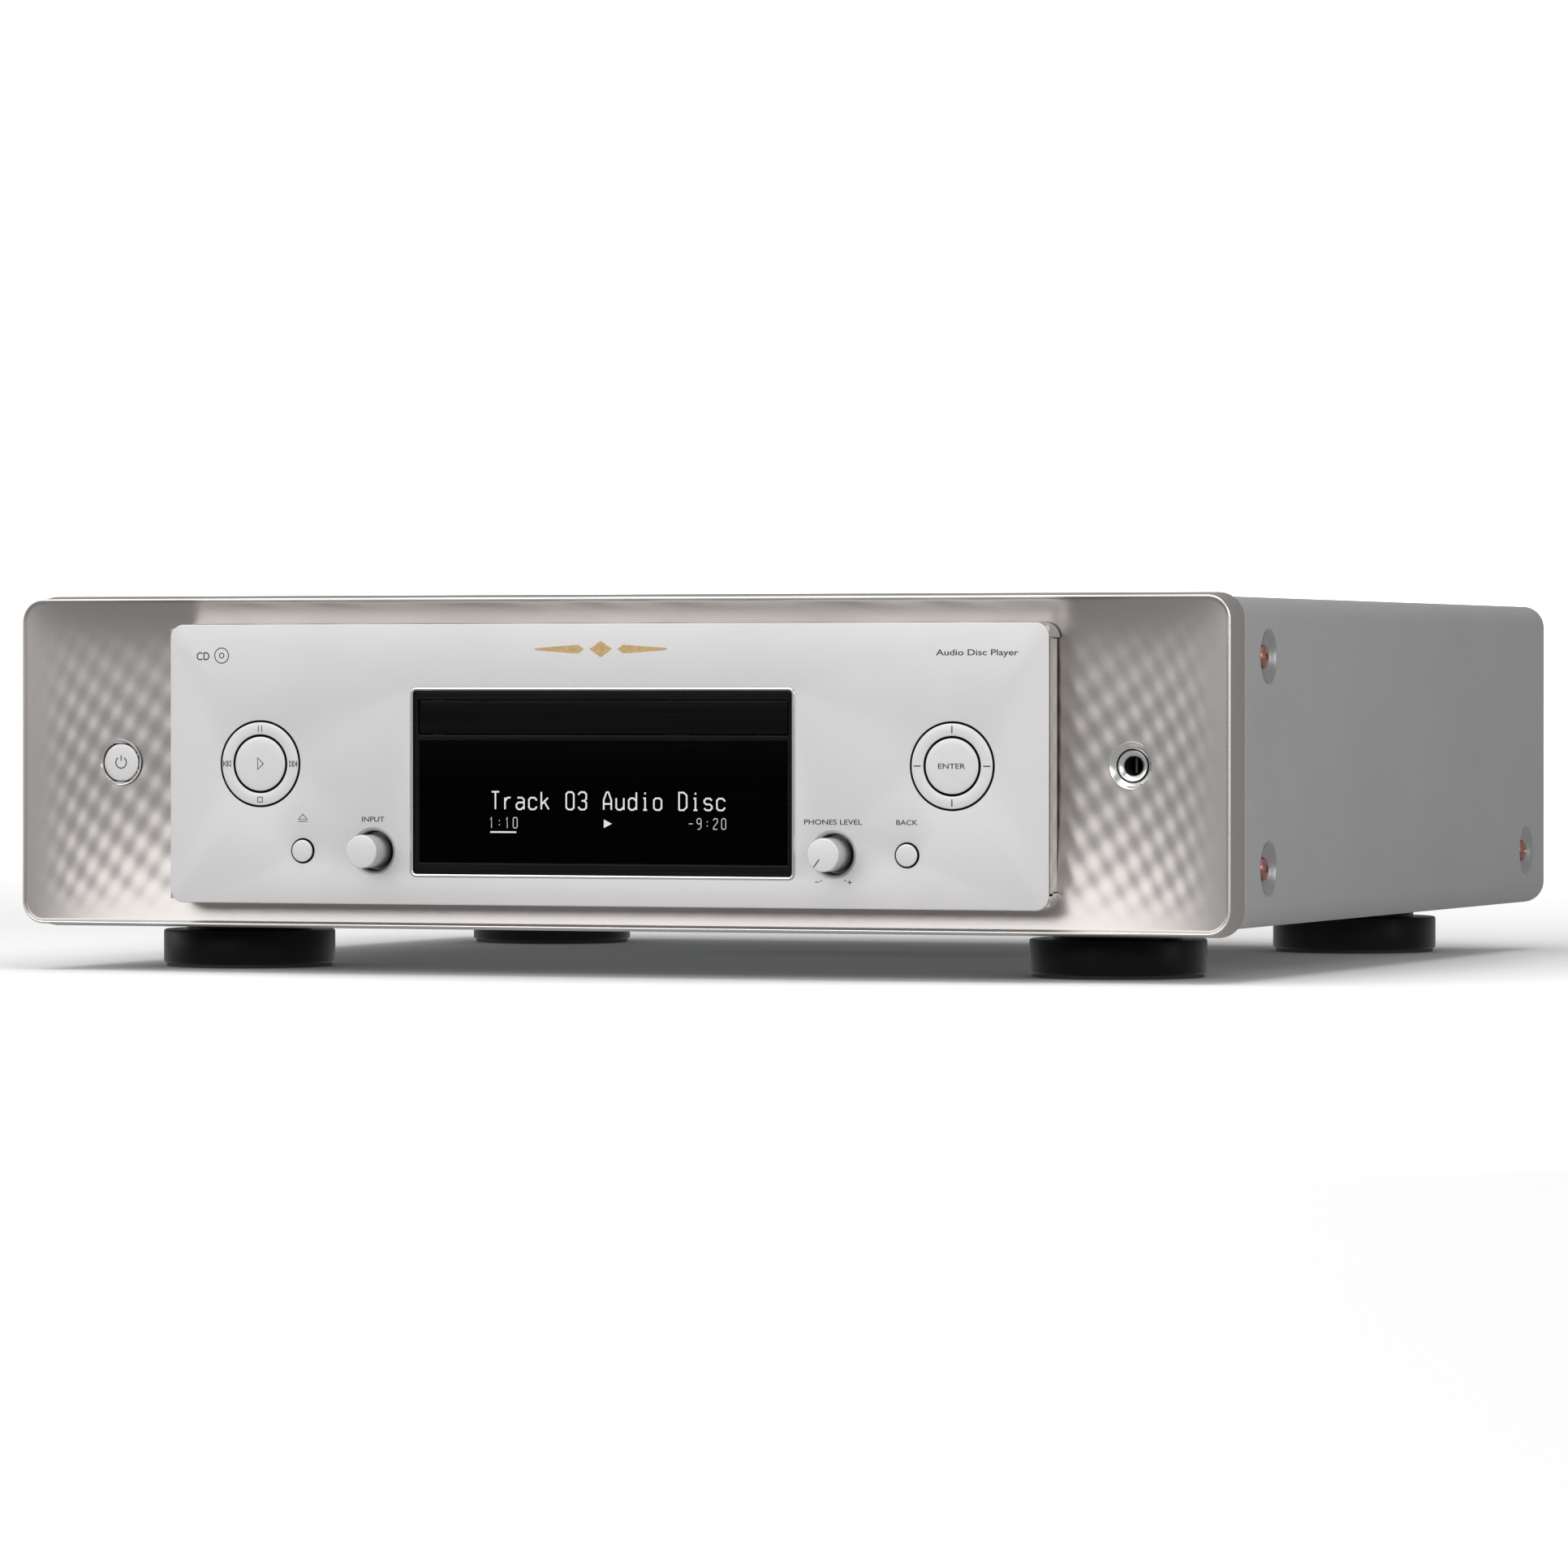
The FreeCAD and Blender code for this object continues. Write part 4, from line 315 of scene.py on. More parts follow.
def circle(x, z, r, count=96):
    """Outline of a round shape: a function of how far it is grown, giving (x, z) points."""
    def points(grow=0.0):
        return [(x + (r + grow) * math.cos(TAU * i / count), z + (r + grow) * math.sin(TAU * i / count))
                for i in range(count)]
    return points


def rounded(x0, x1, z0, z1, r, steps=10):
    """Outline of a rectangle with round corners, as a function of how far it is grown."""
    def points(grow=0.0):
        out = []
        corners = ((x1 - r, z0 + r, -90), (x1 - r, z1 - r, 0), (x0 + r, z1 - r, 90), (x0 + r, z0 + r, 180))
        for cx, cz, start in corners:
            for i in range(steps + 1):
                a = math.radians(start + 90 * i / steps)
                out.append((cx + (r + grow) * math.cos(a), cz + (r + grow) * math.sin(a)))
        return out
    return points


def add_loop(bm, points, y):
    return [bm.verts.new((x, y, z)) for x, z in points]


def bridge(bm, first, second):
    count = len(first)
    for i in range(count):
        j = (i + 1) % count
        bm.faces.new((first[i], first[j], second[j], second[i]))


def fill(bm, loops):
    """Fills the area between an outer loop and any holes with flat faces."""
    edges = []
    for loop in loops:
        for i in range(len(loop)):
            pair = (loop[i], loop[(i + 1) % len(loop)])
            edges.append(bm.edges.get(pair) or bm.edges.new(pair))
    bmesh.ops.triangle_fill(bm, use_beauty=True, use_dissolve=False, edges=edges)


def edge_steps(size, steps=4):
    """(grow, depth) along a quarter-round edge, from the face to the side wall."""
    out = []
    for i in range(steps + 1):
        a = math.pi / 2 * i / steps
        out.append((-size + size * math.sin(a), size * (1 - math.cos(a))))
    return out


def slab(name, outer, holes, y_front, y_back, material, body="chassis", edge=0.3 * MM, hole_edge=None):
    """Flat piece facing -Y with rounded front edges round its outline and its holes."""
    bm = bmesh.new()
    hole_edge = edge if hole_edge is None else hole_edge
    fronts, backs = [], []
    for outline, size, sign in [(outer, edge, 1)] + [(hole, hole_edge, -1) for hole in holes]:
        rings = [add_loop(bm, outline(sign * grow), y_front + depth) for grow, depth in edge_steps(size)]
        rings.append(add_loop(bm, outline(0.0), y_back))
        for first, second in zip(rings, rings[1:]):
            bridge(bm, first, second)
        fronts.append(rings[0])
        backs.append(rings[-1])
    fill(bm, fronts)
    fill(bm, backs)
    return finished(bm, name, material, body)


def lathe_bm(bm, profile, x, z, count=96, axis="Y"):
    """Revolves (radius, along) points about an axis along +Y or +Z through (x, z) or (x, y)."""
    rings = []
    for r, along in profile:
        if r < 1e-6:
            spot = (x, along, z) if axis == "Y" else (x, z, along)
            rings.append([bm.verts.new(spot)])
            continue
        ring = []
        for i in range(count):
            a = TAU * i / count
            u, v = x + r * math.cos(a), z + r * math.sin(a)
            ring.append(bm.verts.new((u, along, v) if axis == "Y" else (u, v, along)))
        rings.append(ring)
    for first, second in zip(rings, rings[1:]):
        if len(first) == 1 and len(second) == 1:
            continue
        if len(first) == 1:
            for i in range(count):
                bm.faces.new((first[0], second[i], second[(i + 1) % count]))
        elif len(second) == 1:
            for i in range(count):
                bm.faces.new((first[i], first[(i + 1) % count], second[0]))
        else:
            bridge(bm, first, second)


def lathe(name, profile, x, z, material, body="chassis", count=96, axis="Y", sharp=32.0):
    bm = bmesh.new()
    lathe_bm(bm, profile, x, z, count, axis)
    return finished(bm, name, material, body, sharp)


def round_edge(r, y, size, steps=4):
    """Profile points that turn a flat face at y into a side wall of radius r."""
    return [(r + grow, y + depth) for grow, depth in edge_steps(size, steps)]


def refinish(piece, material, chosen):
    """Gives the faces that chosen(face) picks another material."""
    piece.data.materials.append(material)
    index = len(piece.data.materials) - 1
    for polygon in piece.data.polygons:
        if chosen(polygon):
            polygon.material_index = index


def smoothstep(t):
    t = max(0.0, min(1.0, t))
    return t * t * (3 - 2 * t)


# Front panel ---------------------------------------------------------------------------

PANEL_CORNER = 7.5 * MM
WING_WIDTH = 62 * MM           # from the rim to behind the plate's edge
DISH = 4.9 * MM                # greatest depth of the dished front
LOW_RISE = 2.4                 # how suddenly the dish rises to its lower edge
TOP_RISE = 8.0                 # and to its upper edge
ROW = 12.45 * MM               # the dimples' pattern repeats over this height
DIMPLE = 0.062 * MM            # height of the dimples


def rim_point(u, v, grow):
    """Point on the rounded front outline's plane for u, v from -1 to 1, so a grid fits it."""
    half_x = PANEL_X - RIM_TAPER
    half_z = (PANEL_HI[2] - PANEL_LO[2]) / 2 - RIM_TAPER
    mid_z = (PANEL_HI[2] + PANEL_LO[2]) / 2
    x, z = u * half_x, v * half_z
    over_x = abs(x) - (half_x - PANEL_CORNER)
    over_z = abs(z) - (half_z - PANEL_CORNER)
    if over_x > 0 and over_z > 0:
        shrink = max(over_x, over_z) / math.hypot(over_x, over_z)
        x = math.copysign(half_x - PANEL_CORNER + over_x * shrink, x)
        z = math.copysign(half_z - PANEL_CORNER + over_z * shrink, z)
    if grow:
        centre_x = max(-half_x + PANEL_CORNER, min(half_x - PANEL_CORNER, x))
        centre_z = max(-half_z + PANEL_CORNER, min(half_z - PANEL_CORNER, z))
        away = Vector((x - centre_x, z - centre_z)).normalized() * grow
        x, z = x + away.x, z + away.y
    return x, mid_z + z


def inset(x, z):
    """How far a point lies inside the panel's outline: sideways, up or down, and to the nearest edge."""
    side = PANEL_X - RIM_TAPER - abs(x)
    mid_z = (PANEL_HI[2] + PANEL_LO[2]) / 2
    level = (PANEL_HI[2] - PANEL_LO[2]) / 2 - RIM_TAPER - abs(z - mid_z)
    over_x, over_z = PANEL_CORNER - side, PANEL_CORNER - level
    if over_x > 0 and over_z > 0:
        return side, level, PANEL_CORNER - math.hypot(over_x, over_z)
    return side, level, min(side, level)


def dimples(x, z):
    """Height of the slanting lattice of soft dimples, closer together towards the outer edge."""
    side, level, _ = inset(x, z)
    reach = side / (60 * MM)
    column = 24.0 * math.log(1 + 0.80645 * min(reach, 1.15)) + max(0.0, reach - 1.15) * 10.8
    across = TAU * column / 3
    up = TAU * z / ROW
    wave = math.cos(across + up) + math.cos(up - 2 * across)
    fade = smoothstep((side - 3 * MM) / (16 * MM)) * smoothstep((level - 2 * MM) / (14 * MM))
    mid_fade = 1.0 - 0.62 * smoothstep((z - 80 * MM) / (38 * MM))
    return DIMPLE * wave * fade * mid_fade


def ripple(x, z, level):
    """Slow unevenness of the cast front along its upper edge, above the plate."""
    if z < PLATE_LO[2] + 40 * MM:
        return 0.0
    fade = smoothstep((160 * MM - abs(x)) / (25 * MM)) * smoothstep(level / (3 * MM))
    return 0.10 * MM * fade * math.sin(TAU * x / (43 * MM) + 1.3 * math.sin(x / (19 * MM)) + z / (4 * MM))


def dish_depth(x, z):
    """How far the front surface lies behind the rim."""
    side, level, edge = inset(x, z)
    half_z = (PANEL_HI[2] - PANEL_LO[2]) / 2 - RIM_TAPER
    s = min(1.0, max(0.0, side) / WING_WIDTH)
    t = min(1.0, max(0.0, level) / half_z)
    rise = TOP_RISE if z > (PANEL_HI[2] + PANEL_LO[2]) / 2 else LOW_RISE
    bowl = (1 - (1 - s) ** 2.2) * (1 - (1 - t) ** rise)
    roll = 0.45 * MM * smoothstep(edge / (1.2 * MM))
    return roll + DISH * bowl - dimples(x, z) + ripple(x, z, level)


def rim_edge(face):
    """True for the narrow polished edge between the panel's front and its side, whose light colour is partly
    a painted highlight.
    """
    _, _, edge = inset(face.center.x, face.center.z)
    return edge < 0.26 * MM and face.center.y < RIM_Y + 0.5 * MM


def stations(spots):
    """Grid lines from (place, step) pairs: each stretch up to the next place has its own step."""
    lines = []
    for (start, step), (end, _) in zip(spots, spots[1:]):
        count = max(1, round((end - start) / step))
        lines += [start + (end - start) * i / count for i in range(count)]
    return lines + [spots[-1][0]]


def front_panel():
    half_x = (PANEL_X - RIM_TAPER) / MM
    half_z = (PANEL_HI[2] - PANEL_LO[2]) / 2 / MM - RIM_TAPER / MM
    xs = stations([(-half_x, 0.25), (-half_x + 2, 0.7), (-150, 1.6), (150, 0.7),
                   (half_x - 2, 0.25), (half_x, 1)])
    zs = stations([(-half_z, 0.25), (-half_z + 2, 0.7), (half_z - 2, 0.25), (half_z, 1)])
    bm = bmesh.new()
    grid = {}
    for i, gx in enumerate(xs):
        for j, gz in enumerate(zs):
            x, z = rim_point(gx / half_x, gz / half_z, 0.0)
            grid[i, j] = bm.verts.new((x, RIM_Y + dish_depth(x, z), z))
    hidden = (150 * MM, PLATE_LO[2] + 6 * MM, PLATE_HI[2] - 6 * MM)
    mid_z = (PANEL_HI[2] + PANEL_LO[2]) / 2
    for i in range(len(xs) - 1):
        for j in range(len(zs) - 1):
            x = (xs[i] + xs[i + 1]) / 2 * MM
            z = mid_z + (zs[j] + zs[j + 1]) / 2 * MM
            behind_plate = abs(x) < hidden[0] and hidden[1] < z < hidden[2]
            in_bezel = math.hypot(abs(x) - WING_X, z - WING_Z) < 7.0 * MM
            if not behind_plate and not in_bezel:
                bm.faces.new((grid[i, j], grid[i + 1, j], grid[i + 1, j + 1], grid[i, j + 1]))
    last_i, last_j = len(xs) - 1, len(zs) - 1
    border = [(i, 0) for i in range(last_i)] + [(last_i, j) for j in range(last_j)]
    border += [(i, last_j) for i in range(last_i, 0, -1)] + [(0, j) for j in range(last_j, 0, -1)]
    ring = [grid[spot] for spot in border]
    depth = PANEL_BACK_Y - RIM_Y
    steps = [(0.25 * MM, 0.10 * MM), (0.42 * MM, 0.32 * MM), (0.5 * MM, 0.7 * MM)]
    steps += [(RIM_TAPER * f, depth * f) for f in (0.35, 0.6, 0.85, 0.97)]
    steps.append((RIM_TAPER - 0.25 * MM, depth))
    for grow, back in steps:
        following = []
        for i, j in border:
            x, z = rim_point(xs[i] / half_x, zs[j] / half_z, min(grow, RIM_TAPER))
            following.append(bm.verts.new((x, RIM_Y + back, z)))
        bridge(bm, ring, following)
        ring = following
    inner = []
    for i, j in border:
        x, z = rim_point(xs[i] / half_x, zs[j] / half_z, -3 * MM)
        inner.append(bm.verts.new((x, PANEL_BACK_Y, z)))
    bridge(bm, ring, inner)
    piece = finished(bm, "front_panel_shell", CHAMPAGNE, sharp=60)
    refinish(piece, RIM_SIDE, lambda face: abs(face.normal.y) < 0.5 and face.center.y > RIM_Y + 0.5 * MM)
    # The narrow rim edge gets the lighter metal: polished, and partly a painted highlight.
    refinish(piece, RIM_PAINTED_HIGHLIGHT, rim_edge)
    # The faces at the panel's back edge are near-black: painted shadow of the gap under the cover.
    refinish(piece, SHADE_BLACK, lambda face: face.center.y > PANEL_BACK_Y - 0.5 * MM)
    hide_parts("front_panel")


# Centre plate and window ---------------------------------------------------------------

RING_HOLE = 14.95 * MM         # radii of the plate's holes
KEY_HOLE = 4.32 * MM
KNOB_HOLE = 8.15 * MM


def fascia_plate():
    """Silver plate with its openings, its side wall and the recesses behind the knobs."""
    outer = rounded(PLATE_LO[0], PLATE_HI[0], PLATE_LO[2], PLATE_HI[2], 4.8 * MM)
    holes = [rounded(TRIM_LO[0], TRIM_HI[0], TRIM_LO[2], TRIM_HI[2], 2.2 * MM)]
    for side in (-1, 1):
        holes.append(circle(side * RING_X, RING_Z, RING_HOLE))
        holes.append(circle(side * KEY_X, KEY_Z, KEY_HOLE, 48))
        holes.append(circle(side * KNOB_X, KNOB_Z, KNOB_HOLE, 64))
    y_back = PLATE_Y + 4.0 * MM
    piece = slab("fascia_face", outer, holes, PLATE_Y, y_back, PLATE_METAL, edge=0.45 * MM,
                 hole_edge=0.22 * MM)
    refinish(piece, PLATE_SIDE, lambda face: abs(face.normal.y) < 0.4)
    # The walls of the ring and key holes are near-black: painted shade in the gaps round the controls.
    refinish(piece, SHADE_BLACK, lambda face: in_round_hole(face.center) and abs(face.normal.y) < 0.4)
    for part in (piece, plate_wall(), knob_cup(-1), knob_cup(1)):
        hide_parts("fascia_plate")


def in_round_hole(spot):
    """True on the wall of a hole for a ring control or a key, behind its broken edge, where the wall gets
    painted shade.
    """
    for x, z, r in ((RING_X, RING_Z, RING_HOLE), (KEY_X, KEY_Z, KEY_HOLE)):
        if math.hypot(abs(spot.x) - x, spot.z - z) < r + 0.07 * MM:
            return spot.y > PLATE_Y + 0.25 * MM
    return False


def plate_wall():
    """The plate's side wall, set back along its middle for the hidden light."""
    bm = bmesh.new()
    outer = rounded(PLATE_LO[0], PLATE_HI[0], PLATE_LO[2], PLATE_HI[2], 4.8 * MM, 8)
    y0, y1 = PLATE_Y + 0.5 * MM, PLATE_Y + 11.6 * MM
    low, high = PLATE_LO[2] + 5.7 * MM, PLATE_HI[2] - 5.0 * MM
    points = outer(0.0)
    cut = [(PLATE_HI[0], low), (PLATE_HI[0] - 1.0 * MM, low + 0.01 * MM),
           (PLATE_HI[0] - 1.0 * MM, high - 0.01 * MM), (PLATE_HI[0], high)]
    path = []
    for i, point in enumerate(points):
        following = points[(i + 1) % len(points)]
        path.append(point)
        if abs(point[0] - following[0]) < 1e-6 and abs(point[1] - following[1]) > 50 * MM:
            side = math.copysign(1, point[0])
            stretch = [(side * x, z) for x, z in cut]
            path += stretch if following[1] > point[1] else stretch[::-1]
    inner = [(x * 0.965, PLATE_LO[2] + (z - PLATE_LO[2]) * 0.94 + 3 * MM) for x, z in path]
    rings = [add_loop(bm, path, y0 + 0.7 * MM), add_loop(bm, path, y1), add_loop(bm, inner, y1),
             add_loop(bm, inner, y0 + 3 * MM)]
    full = [(math.copysign(PLATE_HI[0], x) if abs(abs(x) - PLATE_HI[0]) < 1.5 * MM else x, z)
            for x, z in path]
    lip, top = add_loop(bm, full, y0 + 0.7 * MM), add_loop(bm, full, y0)
    for first, second in zip([top, lip] + rings, [lip] + rings):
        bridge(bm, first, second)
    piece = finished(bm, "fascia_wall", PLATE_SIDE, sharp=25)
    # The set-back middle of the side wall glows: painted light standing in for the hidden lamps.
    refinish(piece, GLOW_PAINTED_SIDE, lambda face: abs(face.normal.x) > 0.7 and low < face.center.z < high and
             abs(face.center.x) > PLATE_HI[0] - 1.5 * MM and face.center.y > y0 + 0.8 * MM)
    return piece


def groove_ends():
    """Small near-black stops at both ends of the light grooves in the plate's sides: painted shade in the
    grooves' end notches.
    """
    for side in (-1, 1):
        for number, z in enumerate((PLATE_LO[2] + 5.65 * MM, PLATE_HI[2] - 4.9 * MM), 1):
            near, far = sorted((side * (PLATE_HI[0] - 1.2 * MM), side * (PLATE_HI[0] - 0.02 * MM)))
            stop = slab(f"groove_end_{side_name(side, 'left', 'right')}_{number}",
                        rounded(near, far, z - 0.45 * MM, z + 0.45 * MM, 0.2 * MM, 3), [],
                        PLATE_Y + 7.2 * MM, PLATE_Y + 10.4 * MM, SHADE_BLACK, edge=0.1 * MM)
            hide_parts("light_guides")


def knob_cup(side):
    """Turned recess behind a knob: a rounded bright mouth, then a bore and floor darkened with painted
    shade.
    """
    r, bore, floor = KNOB_HOLE, 6.85 * MM, PLATE_Y + 4.6 * MM
    profile = [(r, PLATE_Y + 0.1 * MM)]
    for i in range(1, 9):
        a = math.pi / 2 * i / 8
        profile.append((r - (r - bore) * math.sin(a), PLATE_Y + 0.1 * MM + 1.5 * MM * (1 - math.cos(a))))
    profile += [(bore, floor - 0.3 * MM), (bore - 0.3 * MM, floor), (3.9 * MM, floor),
                (3.9 * MM, floor + 0.6 * MM), (r + 0.8 * MM, floor + 0.6 * MM),
                (r + 0.8 * MM, PLATE_Y + 0.3 * MM), (r, PLATE_Y + 0.1 * MM)]
    name = "knob_cup_" + side_name(side, "left", "right")
    piece = lathe(name, profile, side * KNOB_X, KNOB_Z, CUP_MOUTH, count=72)
    # Faces deeper than the mouth take the darker metal: painted shade.
    refinish(piece, RECESS_SHADE_METAL, lambda face: face.center.y > PLATE_Y + 1.3 * MM)
    return piece


def window():
    x, z0, z1 = TRIM_HI[0], TRIM_LO[2], TRIM_HI[2]
    wall = 1.1 * MM
    bright = slab("window_frame", rounded(-x, x, z0, z1, 2.2 * MM),
                  [rounded(-x + wall, x - wall, z0 + wall, z1 - wall, 1.2 * MM)],
                  TRIM_LO[1], TRIM_HI[1], CHROME, edge=0.4 * MM, hole_edge=0.5 * MM)
    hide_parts("window_trim")
    frame_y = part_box("window_surround")[0][1]
    door = rounded(-67.4 * MM, 67.4 * MM, 82.1 * MM, 94.1 * MM, 0.5 * MM, 4)
    screen = rounded(SCREEN_LO[0], SCREEN_HI[0], SCREEN_LO[2], SCREEN_HI[2], 0.5 * MM, 4)
    surround = slab("window_bezel", rounded(-x + wall, x - wall, z0 + wall, z1 - wall, 1.2 * MM),
                    [door, screen], frame_y, frame_y + 3.9 * MM, GLOSS_FRAME, edge=0.2 * MM,
                    hole_edge=0.3 * MM)
    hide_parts("window_surround")
    glass = slab("display_glass", rounded(SCREEN_LO[0], SCREEN_HI[0], SCREEN_LO[2], SCREEN_HI[2],
                                          0.4 * MM, 4), [], SCREEN_LO[1], SCREEN_HI[1], SCREEN_GLASS,
                 edge=0.25 * MM)
    refinish(glass, GLASS_EDGE, lambda face: 0.1 < abs(face.normal.y) < 0.95)
    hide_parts("display_window")
    shutter = slab("tray_front", rounded(DOOR_LO[0], DOOR_HI[0], DOOR_LO[2], DOOR_HI[2], 0.5 * MM, 4),
                   [], DOOR_LO[1], DOOR_HI[1], DOOR_GLASS, body="tray", edge=0.3 * MM)
    refinish(shutter, GLASS_EDGE, lambda face: face.normal.z > 0.4)
    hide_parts("tray_door")


# Controls ------------------------------------------------------------------------------

def side_name(side, left, right):
    return right if side > 0 else left


def ring_control(side):
    """Flat ring whose inner and outer edges are rounded, over a plain sleeve."""
    y = PLATE_Y - 0.2 * MM
    r_out, r_in = 14.25 * MM, 10.1 * MM
    outer = round_edge(r_out, y, 0.28 * MM)
    inner = [(2 * r_in - r, along) for r, along in round_edge(r_in, y, 0.28 * MM)]
    profile = inner[::-1] + outer
    profile += [(r_out, y + 3.0 * MM), (13.5 * MM, y + 3.1 * MM), (13.5 * MM, y + 7.8 * MM),
                (11.0 * MM, y + 7.8 * MM), (11.0 * MM, y + 3.1 * MM), (r_in, y + 3.0 * MM), inner[-1]]
    name = side_name(side, "transport_ring", "nav_ring")
    piece = lathe(name + "_face", profile, side * RING_X, RING_Z, CONTROL_METAL, name, 128)
    # Faces behind the ring's front are near-black: painted shade in the gaps round the ring.
    refinish(piece, SHADE_BLACK, lambda face: face.center.y > y + 0.45 * MM)
    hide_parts(name)


def button(name, x, z, radius, y, stem_r, stem_y, dome=0.0, edge=0.35 * MM):
    """Round push button with a barely domed face."""
    profile = [(0.0, y - dome)]
    for i in range(1, 6):
        r = (radius - edge) * i / 5
        profile.append((r, y - dome * (1 - (r / (radius - edge)) ** 2)))
    profile = profile[:-1] + round_edge(radius, y, edge)
    profile += [(radius, y + 3.0 * MM), (stem_r, y + 3.0 * MM), (stem_r, stem_y), (0.0, stem_y)]
    piece = lathe(name + "_cap", profile, x, z, CONTROL_METAL, name)
    wall_y = max(y + edge, PLATE_Y - 0.1 * MM) + 0.1 * MM
    if abs(x) > PLATE_HI[0]:
        wall_y = y + edge
    # The cap's side wall and stem are near-black: painted shade in the gap round the button.
    refinish(piece, SHADE_BLACK, lambda face: face.center.y > wall_y)
    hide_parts(name)


def push_buttons():
    for name, x, z, radius, stem in (("play_button", -RING_X, RING_Z, 9.3, 3.0),
                                     ("enter_button", RING_X, RING_Z, 9.3, 3.0),
                                     ("eject_button", -KEY_X, KEY_Z, 3.75, 2.0),
                                     ("back_button", KEY_X, KEY_Z, 3.75, 2.0),
                                     ("power_button", -WING_X, WING_Z, 6.5, 2.5)):
        low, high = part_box(name)
        face_y = POWER_Y if name == "power_button" else low[1] + 0.1 * MM
        button(name, x, z, radius * MM, face_y, stem * MM, high[1], dome=0.1 * MM)


def knob(side):
    """Turned knob with a crisp rounded face; the level knob has an engraved pointer."""
    name = side_name(side, "input_knob", "level_knob")
    low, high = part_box(name)
    y, r = low[1], 5.65 * MM
    back = PLATE_Y + 2.2 * MM
    profile = [(0.0, y + 0.05 * MM)] + round_edge(r, y + 0.05 * MM, 0.45 * MM, 6)
    profile += [(r, back - 0.2 * MM), (r - 0.2 * MM, back), (3.0 * MM, back), (3.0 * MM, high[1]),
                (0.0, high[1])]
    piece = lathe(name + "_turned", profile, side * KNOB_X, KNOB_Z, CONTROL_METAL, name, 128)
    refinish(piece, KNOB_SIDE, lambda face: abs(face.normal.y) < 0.3)
    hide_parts(name)
    if side > 0:
        a = math.radians(232)
        pointer = [(KNOB_X + math.cos(a) * d * MM, KNOB_Z + math.sin(a) * d * MM) for d in (1.9, 5.2)]
        marks("level_pointer", y + 0.03 * MM, ENGRAVED, lines=[pointer], width=0.5 * MM, body=name)


def bezels():
    """Turned rings on the wings, round the power button and the headphone socket."""
    for name, x, inner, depth in (("power_bezel", -WING_X, 6.75, 1.3), ("jack_bezel", WING_X, 5.6, 1.7)):
        profile = [(inner, 3.4), (inner, depth + 0.15), (inner + 0.12, depth), (7.3, 0.42), (7.5, 0.25),
                   (7.68, 0.2), (7.74, 0.0), (7.88, 0.0), (8.0, 0.14), (8.0, 3.4), (inner, 3.4)]
        piece = lathe(name, [(r * MM, SEAT_Y + along * MM) for r, along in profile], x, WING_Z, TURNED,
                      sharp=40)
        # The bezel's bore behind its mouth is near-black: painted shade.
        refinish(piece, SHADE_BLACK, lambda face: face.center.y > SEAT_Y + (depth + 0.2) * MM)
        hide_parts("front_bezels")


def jack():
    """Quarter-inch socket: bright nose with a bevelled mouth, a bore in near-black painted shade with a
    contact reed, and a body whose own black is deepened with painted shade.
    """
    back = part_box("headphone_jack")[1][1]
    profile = [(3.2, 3.4), (3.2, 2.7), (3.3, 2.5), (4.4, 1.85), (4.6, 1.7), (5.0, 1.65), (5.15, 1.8),
               (5.15, 3.4), (3.2, 3.4)]
    nose = lathe("jack_nose", [(r * MM, SEAT_Y + along * MM) for r, along in profile], WING_X, WING_Z,
                 TURNED, sharp=40)
    # The nose's bore wall is near-black: painted shade.
    refinish(nose, SHADE_BLACK, lambda face: face.center.y > SEAT_Y + 2.0 * MM and
             abs(face.normal.y) < 0.3)
    half = 8.0 * MM
    outline = rounded(WING_X - half, WING_X + half, WING_Z - half, WING_Z + half, 0.8 * MM, 3)
    # The body seen through the bore is near-black: its own black plus painted shade.
    body = slab("jack_body", outline, [circle(WING_X, WING_Z, 3.2 * MM, 48)], SEAT_Y + 3.4 * MM,
                back - 1.5 * MM, SHADE_BLACK)
    end = slab("jack_end", outline, [], back - 1.5 * MM, back, BLACK_PLASTIC)
    for piece in (nose, body, end):
        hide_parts("headphone_jack")
    reed = [(WING_X - 0.6 * MM, WING_Z - 2.4 * MM), (WING_X - 0.6 * MM, WING_Z + 2.6 * MM)]
    marks("jack_contact", SEAT_Y + 8 * MM, ENGRAVED, lines=[reed], width=0.7 * MM)


# Cover, feet and rear ------------------------------------------------------------------

SHEET = 1.2 * MM
COVER_CORNER = 8 * MM
DISH_MOUTH = 9.8 * MM          # radius of the pressed dish round each side screw
DISH_SEAT = 5.2 * MM
DISH_DEEP = 3.0 * MM
SCREW_Y = (-152 * MM, 179 * MM)
SCREW_Z = (37.5 * MM, 108.5 * MM)
SCREW_SITES = ((SCREW_Y[0], SCREW_Z[0]), (SCREW_Y[0], SCREW_Z[1]), (SCREW_Y[1], SCREW_Z[0]))


def pressed(y, z):
    """Depth of the sheet's pressed dishes at a point of its side."""
    for site_y, site_z in SCREW_SITES:
        r = math.hypot(y - site_y, z - site_z)
        if r < DISH_MOUTH:
            t = (DISH_MOUTH - r) / (DISH_MOUTH - DISH_SEAT)
            return DISH_DEEP * smoothstep(min(1.0, t)) ** 0.8
    return 0.0


